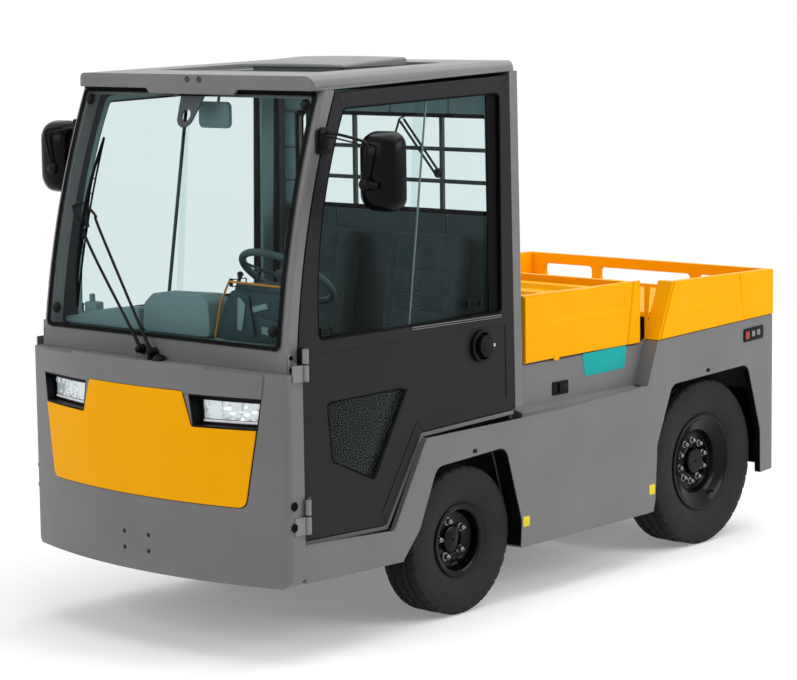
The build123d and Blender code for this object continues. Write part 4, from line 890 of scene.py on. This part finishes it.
    def on_mirror(a, b, out):
        """a across, b up and out to the front, turned about the upright through the middle."""
        x = middle_x + a * cos(turn) + out * sin(turn)
        s = middle_s - out * cos(turn) + a * sin(turn)
        return at(side * x, s, middle_z + b)

    rings = []
    for scale, out in ((1.0, -38), (1.0, -30), (0.985, -18), (0.95, 0), (0.88, 18), (0.77, 31), (0.6, 40),
                       (0.36, 45), (0.1, 46.5)):
        half_w, half_h = mirror_half_w * scale, mirror_half_h - (1 - scale) * 92
        line = box(-half_w, half_w, -half_h, half_h, min(mirror_corner, 0.95 * half_w), 7)
        rings.append(add_loop(line, on_mirror, out))
    for one, two in zip(rings, rings[1:]):
        bridge(one, two)
    shape.faces.new(rings[0])
    shape.faces.new(rings[-1])
    lip = box(-mirror_half_w, mirror_half_w, -mirror_half_h, mirror_half_h, mirror_corner, 7)
    add_ring(lip, [(0.955 * a, 0.975 * b) for a, b in lip], on_mirror, -38, -42)
    shell = finish(f"mirror_shell_{word}", mirror_black, angle=50, body=body)
    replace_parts(shell, f"mirror_{word}")
    add_prism([(0.95 * a, 0.97 * b) for a, b in lip], on_mirror, -40, -38.1)
    finish(f"mirror_glass_{word}", mirror_face, 0.4, body=body)
    arm = [(666, -768, 1930), (720, -764, 1927), (800, -764, 1915), (858, -764, 1903), (872, -763, 1888),
           (868, -763, 1850), (852, -760, 1790), (843, -757, 1752)]
    add_tube(smooth_path([at(side * x, s, z) for x, s, z in arm], 4), 5.5, 10)
    add_tube(smooth_path([at(side * (x - 4), s + 4, z - 16) for x, s, z in arm[:4]], 3), 3.2, 8)
    add_lathe([(0, 0), (21, 0), (24, 6), (24, 26), (19, 33), (8, 36), (0, 36)],
              at(side * 846, -728, 1748), (0, -1, 0), 24)
    add_tube([at(side * 846, -750, 1748), at(side * 896, -734, 1744)], [15, 11], 12)
    add_prism(box(-800, -728, 1852, 1942, 12), cab, 0.2, 11)
    add_prism(box(-790, -742, 1868, 1950, 10), cab, 11, 22)
    finish(f"mirror_arm_{word}", black_plastic, 1.2, body=body)
    for s, z in ((-750, 1938), (-756, 1878), (-780, 1932)):
        add_bolt(cab(s, z, 20), (side, 0, 0), 5, 5)
    finish(f"bracket_bolts_{word}", cast, body=body)
    # Inner trim round the upper window
    add_ring(rounded(inset(upper, -26), 40), rounded(inset(upper, -5), 27), cab, -43, -40.1)
    add_prism([(206, 2040), (256, 2043), (246, 1168), (206, 1168)], cab, -42, -27)
    finish(f"door_trim_{word}", trim_teal, 1.0, 1, body=body)

# Body sides
for word, side in sides:
    skirt = on_side(side, skirt_x)
    panel = on_side(side, inset_x)
    plates(f"teal_plate_{word}", teal_plate, [
        (rounded([(812, 938), (1122, 943), (1104, 846), (833, 842)], 12), panel, 0.1, 1.6)], 0.4)
    socket = box(613, 713, 790, 844)
    hollow = rounded(inset(socket, 7), 4)
    add_ring(rounded(socket, 5), hollow, panel, 0.1, 7)
    add_prism(hollow, panel, 0.1, 2)
    add_prism(box(652, 704, 798, 836, 6), panel, 2, 10)
    finish(f"charge_socket_{word}", black_plastic, 1.2)
    for arch, lowest, depth in arches:
        edges = [above(rounded(inset(arch, lining), 55 - lining), lowest) for lining in (0.3, 2.3)]
        add_prism(edges[0] + edges[1][::-1], skirt, -depth, -1.5)
    finish(f"arch_lips_{word}", black_plastic)
    plates(f"blank_labels_{word}", label_yellow, [
        (box(326, 368, 300, 341, 5), skirt, 0.1, 1.0),
        (box(1181, 1222, 296, 339, 5), skirt, 0.1, 1.0)], 0.3)
    for s, z in ((30, 652), (1616, 782)):
        add_ring(box(s - 11, s + 11, z - 8, z + 8, 5), box(s - 7, s + 7, z - 5, z + 5, 3),
                 skirt, 0.1, 2.5)
        add_prism(box(s - 6, s + 6, z - 4, z + 4, 3), skirt, 0.1, 1.2)
    finish(f"press_studs_{word}", chassis_black, 0.4)
    # Rolled upper edge of the skirt
    roll_line = [at(side * 692, s, z) for s, z in (
        (-928, 437), (-700, 424), (-452, 411), (-440, 418), (-432, 430), (-262, 722), (-250, 733),
        (-236, 737), (0, 737), (355, 738), (700, 741), (1165, 763))]
    add_tube(roll_line, 4.5, 10)
    finish(f"rolled_edge_{word}", grey)
    # Marker lamp: dark case with a red and two clear cells
    case = [(1889, 873), (2042, 879), (2042, 938), (1889, 932)]
    add_prism(rounded(case, 10), skirt, 0.1, 6)
    case_piece = finish(f"marker_case_{word}", black_plastic, 2.0)
    if side > 0:
        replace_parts(case_piece, "marker_lamps")
    for cell, low_s, high_s, low_z, high_z, material in (
            ("red", 1896, 1927, 886, 922, lamp_red), ("clear", 1946, 1972, 894, 920, lamp_clear),
            ("outer", 1986, 2011, 897, 923, lamp_clear)):
        plates(f"marker_{cell}_{word}", material, [
            (box(low_s, high_s, low_z, high_z, 7), skirt, 6, 8.5)], 1.5)
    # Pressed outer skin of the quarter, and of the hood
    quarter_front, quarter_foot, flat_out = 1262, 957, 4.6
    grid = []
    for share, out in ((0.0, 4.6), (0.30, 4.6), (0.45, 4.6), (0.465, 4.9), (0.50, 1.6), (0.60, 1.0),
                       (0.70, 1.6), (0.78, 3.0), (0.86, 4.4), (1.0, 4.6)):
        line = []
        for s in (quarter_front, 1400, 1424, 1500, 1700, 1850, 1862, 1884, 1889, 2000, 2117):
            low = quarter_foot + (s - quarter_front) * 26 / 855
            high = 1195 - (s - 1350) * 13 / 770
            front = max(0.0, min(1.0, 1.0 - (s - quarter_front) / 60))
            z = low + (high - low) * share
            lean_s = -(z - 980) * 0.168 if 1840 < s < 1900 else 0
            level = out if 1405 < s < 1870 else flat_out
            if 1880 < s < 1887:
                level = 1.6 if share > 0.3 else flat_out
            elif s >= 1887:
                level = 6.6
            line.append((s + front * (z - quarter_foot) * 0.42 + lean_s, z, level))
        grid.append(line)
    add_slab(grid, skirt, 0.1)
    finish(f"quarter_skin_{word}", yellow, 0.8, 2, 14)
    grid = []
    for z, deep_out in ((944, None), (1060, None), (1084, 6.5), (1090, 6.8), (1101, 2.6), (1120, 1.6),
                        (1138, 2.2), (1156, 4.2), (1172, 6.0), (1184, None), (1209, None)):
        line = []
        crease_s = 1116 + (z - 959) * 33 / 203
        for s in (434, 600, 622, 760, 900, 1040, 1100, 1112, crease_s + 2, crease_s + 8, crease_s + 13, 1207):
            out = 6.5
            if deep_out is not None and 610 < s < 1110:
                out = deep_out
            if crease_s + 7 < s < crease_s + 9:
                out = 2.0
            elif s > crease_s + 9:
                out = 9.2
            line.append((s, z, out))
        grid.append(line)
    add_slab(grid, panel, 0.1)
    finish(f"hood_skin_{word}", yellow, 0.8, 2, 14, body="hood")
    plates(f"gap_plate_{word}", yellow, [
        ([(side * x, z) for x, z in ((632, 956), (644, 956), (663, 1191), (632, 1191))],
         on_front(1236), 0, 3)], 0.6)
    plates(f"hood_tab_{word}", yellow, [(box(617, 650, 934, 958, 4), panel, 1, 9.5)], 1.0, body="hood")

# Deck of the hood: a shallow pressed tray with three bays
deck_front, deck_top, bay_depth = 441, 1202, 22
grid = []
for s, depth in ((deck_front, 0), (462, 0), (474, 1), (662, 1), (676, 0), (704, 0), (716, 1), (930, 1),
                 (944, 0), (972, 0), (984, 1), (1176, 1), (1188, 0), (1204, 0)):
    row = []
    for x in (-608, -580, -566, -300, 0, 300, 566, 580, 608):
        sunk = bay_depth if depth and abs(x) < 570 else 0
        row.append((x, s, deck_top - 6 * (s - deck_front) / 763 - sunk))
    grid.append(row)
add_slab(grid, on_level(0), 1168)
finish("hood_deck", yellow, 2.0, 2, 20, body="hood")

# Cab inside: headliner, rear trim, mirror, hump, console, display, levers
plates("headliner", trim_teal, [(box(-588, 588, -690, 330, 60), on_level(2056), 0, 20)], 6.0)
window_low, window_high, window_half = 1549, 1935, 528
wall_inner = 338
wall_outline = [(-619, 726), (619, 726), (599, 2116), (-599, 2116)]
opening = box(-window_half, window_half, window_low, window_high)
add_ring(wall_outline, opening, on_back(wall_inner), 0, 24)
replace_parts(finish("cab_rear_wall", grey, 1.0), "cab_back_wall")
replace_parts(plates("rear_pane", glass, [(opening, on_back(347), 0, 6)]), "rear_window")
for place in (on_back(cab_back), on_front(wall_inner)):
    add_ring(rounded(inset(opening, -10), 30), rounded(inset(opening, 7), 24), place, 0.1, 4)
finish("rear_pane_seal", seal_black, 1.0)
for low_z, high_z in ((1552, 1640), (1648, 1780), (1788, 1932)):
    for a, b in ((-604, -542), (542, 604)):
        add_prism(box(a, b, low_z, high_z, 8), on_front(wall_inner), 0.3, 5)
for a, b in ((-600, -320), (-312, -4), (4, 312), (320, 600)):
    add_prism(box(a, b, 1945, 2046, 10), on_front(wall_inner), 0.3, 5)
finish("rear_trim", trim_teal, 2.0)
# The lower trim takes the shaded trim colour: painted shade low in the cab
for a, b in ((-602, -306), (-298, 298), (306, 602)):
    add_prism(box(a, b, 780, 1538, 14), on_front(wall_inner), 0.3, 6)
finish("rear_trim_low", trim_teal_shaded, 2.0)
add_prism(box(-46, 119, 1928, 2028, 22, 6), on_front(-690), 0, 16)
add_tube([at(36, -684, 2010), at(36, -670, 2062)], 6, 8)
finish("inner_mirror", dash_teal, 4.0, 3)
plates("inner_mirror_face", mirror_face, [(box(-40, 113, 1934, 2022, 18, 6), on_back(-690), 0.1, 1.4)], 0.4)
hump = rounded([(-172, 1160), (200, 1160), (190, 1296), (150, 1316), (-112, 1308), (-160, 1268)], 26, 5)
plates("dash_hump", dash_teal, [(hump, on_front(-790), 0, 118)], 9.0)
plates("dash_shelf", dash_teal, [
    (rounded([(-612, 1160), (-180, 1160), (-190, 1246), (-420, 1222), (-560, 1190), (-612, 1184)], 12),
     on_front(-800), 0, 110)], 7.0)
plates("dash_levers", dash_teal, [
    (box(-520, -452, 1200, 1246, 8), on_front(-850), 0, 40),
    (box(-508, -490, 1240, 1276, 6), on_front(-850), 8, 26)], 4.0)
console = [(226, 1160), (600, 1160), (604, 1310), (560, 1340), (300, 1344), (262, 1290)]
plates("driver_console", dash_dark, [
    (rounded(console, 14), on_front(-776), 0, 116),
    (rounded([(330, 1180), (430, 1180), (400, 1330), (330, 1350)], 10), on_front(-892), 0, 14),
    (rounded([(450, 1176), (560, 1176), (560, 1240), (450, 1262)], 10), on_front(-892), 0, 12),
    (rounded([(300, 1310), (470, 1330), (460, 1376), (310, 1366)], 12), on_front(-800), 0, 70)], 5.0)
# Lighter teal plates on the dark console: painted highlights
plates("console_painted_highlights", dash_teal, [
    (rounded([(346, 1200), (372, 1200), (392, 1300), (352, 1330)], 8), on_front(-906), 0, 6),
    (rounded([(474, 1196), (545, 1190), (540, 1214), (470, 1226)], 8), on_front(-904), 0, 8),
    (rounded([(420, 1270), (500, 1290), (490, 1310), (415, 1292)], 6), on_front(-892), 0, 10)], 3.0)
plates("console_panel", screen_dark, [
    (rounded([(300, 1190), (560, 1190), (556, 1330), (330, 1330)], 16), on_back(-770), 0.1, 6)], 1.5)
for grid_x in range(4):
    for grid_z in range(2):
        x, z = 345 + 55 * grid_x, 1225 + 60 * grid_z
        add_prism(box(x - 19, x + 19, z - 20, z + 20, 6), on_back(-764), 0, 4)
finish("console_keys", black_plastic, 1.5)
trim = [(219, 1162), (254, 1300), (298, 1378), (562, 1374)]
for a, b in zip(trim, trim[1:]):
    add_tube([at(a[0], -900, a[1]), at(b[0], -900, b[1])], 4, 8)
finish("orange_trim", orange)
add_tube([at(236, -800, 1330), at(212, -760, 1372), at(196, -740, 1384)], [8, 7, 13], 10)
add_tube([at(330, -780, 1376), at(322, -760, 1412)], [6, 11], 10)
finish("console_lever", black_plastic)

# Steering wheel
tilt = radians(35)
hub = at(292, -584, 1366)
wheel_axis = Vector((0, sin(tilt), cos(tilt)))
rim_profile = [(185 + 15 * cos(a), 14 * sin(a)) for a in (tau * k / 14 for k in range(14))]
add_lathe(rim_profile, hub, wheel_axis, 64, closed=True)
add_lathe([(0, -22), (30, -22), (46, -12), (50, 4), (40, 12), (20, 15), (0, 16)], hub, wheel_axis, 40)
flat_x = Vector((1, 0, 0))
flat_y = wheel_axis.cross(flat_x)
for degrees in (90, 210, 330):
    out_way = flat_x * cos(radians(degrees)) + flat_y * sin(radians(degrees))
    spoke = [hub + out_way * (r / 1000) - wheel_axis * (h / 1000)
             for r, h in ((38, 4), (90, 7), (140, 4), (180, 0))]
    add_tube(smooth_path(spoke, 4), [16 - 0.45 * k for k in range(13)], 10, flat=0.35,
             across=wheel_axis.cross(out_way))
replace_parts(finish("steering_rim", grip_grey, angle=50), "steering_wheel")
column = [at(268, -806, 1062), hub - wheel_axis * 0.018]
add_tube(column, [34, 26], 20)
add_tube([column[0].lerp(column[1], 0.55), column[0].lerp(column[1], 0.9)], [44, 40], 20)
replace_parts(finish("column_shroud", dash_dark, 2.0), "steering_column")

# Rear: blank plate, tail lamps and the window's wiper
plates("rear_plate", label_yellow, [
    (box(-150, 150, 760, 850, 8), on_back(body_end), 0.1, 2)], 0.5)
for word, side in sides:
    case, cavity = [[(side * x, z) for x, z in line]
                    for line in (box(511, 609, 796, 1004, 14), box(518, 602, 803, 997, 8))]
    add_ring(case, cavity, on_back(body_end), 0.1, 30)
    add_prism(cavity, on_back(body_end), 0.1, 14)
    case_piece = finish(f"tail_case_{word}", black_plastic, 1.5)
    if side > 0:
        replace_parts(case_piece, "tail_lamps")
    for cell, low, high, material in (("amber", 940, 994, lamp_amber), ("red", 872, 934, lamp_red),
                                      ("clear", 806, 866, lamp_clear)):
        grid = []
        for j in range(9):
            z = low + (high - low) * j / 8
            swell = 22 + 3 * sin(pi * j / 8)
            grid.append([(side * (521 + 78 * i / 12), z, swell + 0.9 * (i % 2)) for i in range(13)])
        add_slab(grid, on_back(body_end), 14)
        finish(f"tail_{cell}_{word}", material, angle=20)
add_lathe([(0, 0), (20, 0), (20, 10), (12, 16), (0, 17)], at(224, 370, 1700), (0, 1, 0), 16)
add_tube([at(224, 384, 1700), at(32, 384, 1915)], 5, 8)
add_tube([at(205, 384, 1690), at(12, 384, 1905)], 5, 8)
add_tube([at(-70, 376, 1700), at(14, 378, 1916), at(60, 376, 1934)], 4.5, 8)
finish("rear_wiper", seal_black)

# Battery top: cells with caps
battery_top = 915
cells_x, cells_s = 6, 4
first_x, first_s = -548, cab_back + 98
pitch_x = -2 * first_x / cells_x
pitch_s = (wheelbase - 493 - first_s) / cells_s
for i in range(cells_x):
    for j in range(cells_s):
        x, s = first_x + i * pitch_x, first_s + j * pitch_s
        add_prism(box(x + 3, x + pitch_x - 3, s + 3, s + pitch_s - 3, 8), on_level(battery_top), 0.1, 14)
        add_lathe([(0, 14), (22, 14), (22, 26), (15, 30), (0, 30)],
                  at(x + pitch_x / 2, s + pitch_s / 2, battery_top), (0, 0, 1), 18)
finish("battery_cells", black_plastic, 1.5)

# Drive motor with cooling fins
fins = [(0, 0), (84, 0), (104, 10)]
for k in range(8):
    fins += [(104, 16 + 24 * k), (119, 18 + 24 * k), (119, 26 + 24 * k), (104, 28 + 24 * k)]
fins += [(104, 214), (118, 218), (118, 224), (0, 224)]
add_lathe(fins, at(0, wheelbase - 375, 365), (0, 1, 0), 48)
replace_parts(finish("finned_motor", cast, 0.8, 1), "drive_motor")

# Pin handle on the coupling
pin_s = body_end + 62
loop = [at(22 * cos(a), pin_s, 512 + 24 * sin(a)) for a in (pi * k / 10 for k in range(11))]
add_tube([at(22, pin_s, 498)] + loop + [at(-22, pin_s, 498)], 5, 10)
finish("pin_handle", steel)


shape.free()

# Seats: padded cushions and backrests
voxel = 0.009
cloth_frames = 20
farthest_move = 0.014
backrest_lean = 0.090
groove_width = 0.008
field_edge = 0.135


def pad_mesh(name, low, high, gap):
    """Crowned block, smaller than its space by the gap on each side."""
    pad = bmesh.new()
    bmesh.ops.create_cube(pad, size=1)
    bmesh.ops.subdivide_edges(pad, edges=pad.edges, cuts=7, use_grid_fill=True)
    size = [high[k] - low[k] - 2 * gap[k] for k in range(3)]
    for vert in pad.verts:
        share = [vert.co[k] * 2 for k in range(3)]
        pull = 1 - 0.035 * (share[0] ** 2 + share[1] ** 2 + share[2] ** 2)
        vert.co = Vector([(low[k] + high[k]) / 2 + vert.co[k] * size[k] * pull for k in range(3)])
    mesh = bpy.data.meshes.new(name)
    pad.to_mesh(mesh)
    pad.free()
    return mesh


def evaluated(piece):
    """Mesh of a piece as its modifiers make it."""
    depsgraph = bpy.context.evaluated_depsgraph_get()
    return bpy.data.meshes.new_from_object(piece.evaluated_get(depsgraph))


# A backrest's block stands upright while it is blown up, and leans back after that
pads = []
for who in ("driver", "passenger"):
    for part, gap, lean in (("cushion", (0.014, 0.014, 0.012), 0.0),
                            ("backrest", (0.014, 0.012, 0.014), backrest_lean)):
        node = f"{who}_seat_{part}"
        low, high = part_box(node)
        high = Vector((high[0], high[1] - lean, high[2]))
        name = f"{who}_{part}"
        piece = bpy.data.objects.new(name, pad_mesh(name, low, high, gap))
        scene.collection.objects.link(piece)
        pads.append((piece, node, low, high, lean))
        remesh = piece.modifiers.new("remesh", "REMESH")
        remesh.mode = "VOXEL"
        remesh.voxel_size = voxel
        piece.data = evaluated(piece)
        piece.modifiers.clear()
        soft = piece.modifiers.new("cloth", "CLOTH")
        soft.settings.use_pressure = True
        soft.settings.uniform_pressure_force = 4
        soft.settings.effector_weights.gravity = 0
        soft.settings.mass = 0.4
        soft.point_cache.frame_start = 1
        soft.point_cache.frame_end = cloth_frames

for number in range(1, cloth_frames + 1):
    scene.frame_set(number)
blown = [evaluated(piece) for piece, *_ in pads]
scene.frame_set(1)

for mesh, (piece, node, low, high, lean) in zip(blown, pads):
    for old, new in zip(piece.data.vertices, mesh.vertices):
        move = new.co - old.co
        if move.length > farthest_move:
            new.co = old.co + move * (farthest_move / move.length)
    piece.modifiers.clear()
    piece.data = mesh
    middle = [(a + b) / 2 for a, b in zip(low, high)]
    # The shown side is a backrest's front and a cushion's top
    thick, tall, outward = (1, 2, -1) if lean else (2, 1, 1)
    for vert in mesh.vertices:
        across = vert.co[0] - middle[0]
        length = vert.co[tall] - middle[tall]
        if outward * (vert.co[thick] - middle[thick]) > 0:
            groove = 0.0
            for line in (-field_edge, field_edge):
                groove += 0.010 * exp(-((across - line) / groove_width) ** 2)
            if abs(across) < field_edge:
                for line in (-0.08, 0.08):
                    groove += 0.008 * exp(-((length - line) / groove_width) ** 2)
            vert.co[thick] -= outward * groove
        for k in range(3):
            vert.co[k] = max(low[k] + 0.0005, min(high[k] - 0.0005, vert.co[k]))
        if lean:
            vert.co[1] += lean * (vert.co[2] - low[2]) / (high[2] - low[2])
    mesh.shade_smooth()
    mesh.materials.clear()
    mesh.materials.append(cloth)
    finer = piece.modifiers.new("finer", "SUBSURF")
    finer.levels = finer.render_levels = 1
    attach(piece, "chassis")
    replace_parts(piece, node)

# Floor: white, keeps the shadow near the vehicle and fades to plain white away from it
floor_mesh = bpy.data.meshes.new("floor")
floor_half = 60
floor_mesh.from_pydata(
    [(-floor_half, -floor_half, 0), (floor_half, -floor_half, 0), (floor_half, floor_half, 0),
     (-floor_half, floor_half, 0)], [], [(0, 1, 2, 3)])
floor = bpy.data.objects.new("floor", floor_mesh)
scene.collection.objects.link(floor)
floor_material = bpy.data.materials.new("floor_white")
tree = empty_tree(floor_material)


def seen_directly(tree):
    """1 for rays from the camera, from reflections and through glass."""
    path = add_node(tree, "LightPath")
    both = add_node(tree, "Math", path.outputs["Is Camera Ray"], path.outputs["Is Glossy Ray"],
                    operation="MAXIMUM")
    return add_node(tree, "Math", both, path.outputs["Is Transmission Ray"], operation="MAXIMUM")


seen = seen_directly(tree)
floor_diffuse = add_node(tree, "BsdfDiffuse", (0.85, 0.85, 0.85, 1))
floor_lift = add_node(tree, "Emission")
feed(tree, floor_lift, {"Strength": add_node(tree, "Math", seen, 0.22, operation="MULTIPLY")})
near = add_node(tree, "AddShader", floor_diffuse, floor_lift)
place = add_node(tree, "TexCoord")
reach = add_node(tree, "VectorMath", place.outputs["Object"], operation="LENGTH")
tenth = add_node(tree, "Math", reach.outputs["Value"], 0.1, operation="MULTIPLY")
fade = ramp(tree, tenth, 0.19, 0.34, (0, 0, 0), (1, 1, 1))
far = add_node(tree, "Math", fade, seen, operation="MULTIPLY")
mix = add_node(tree, "MixShader", far, near, add_node(tree, "Emission"))
add_node(tree, "OutputMaterial", mix)
floor_mesh.materials.append(floor_material)

# World: soft light, white where it is seen
world = bpy.data.worlds.new("studio")
scene.world = world
tree = empty_tree(world)
sky = add_node(tree, "Background", (1, 1, 1, 1), 0.43)
white = add_node(tree, "Background", (1, 1, 1, 1), 1.0)
add_node(tree, "OutputWorld", add_node(tree, "MixShader", seen_directly(tree), sky, white))


def area_light(name, place, aim, size, power):
    data = bpy.data.lights.new(name, "AREA")
    data.shape = "RECTANGLE"
    data.size, data.size_y = size
    data.energy = power
    lamp = bpy.data.objects.new(name, data)
    lamp.location = place
    lamp.rotation_euler = (Vector(aim) - Vector(place)).to_track_quat("-Z", "Y").to_euler()
    scene.collection.objects.link(lamp)


area_light("top_light", (0.5, 0.5, 6.5), (0, 0, 0.8), (7, 7), 360)
area_light("front_light", (-2.0, -7.5, 4.2), (0, -1, 0.9), (5, 4), 178)
area_light("side_light", (7.0, 3.0, 4.2), (0, 0.3, 0.9), (5, 4), 270)
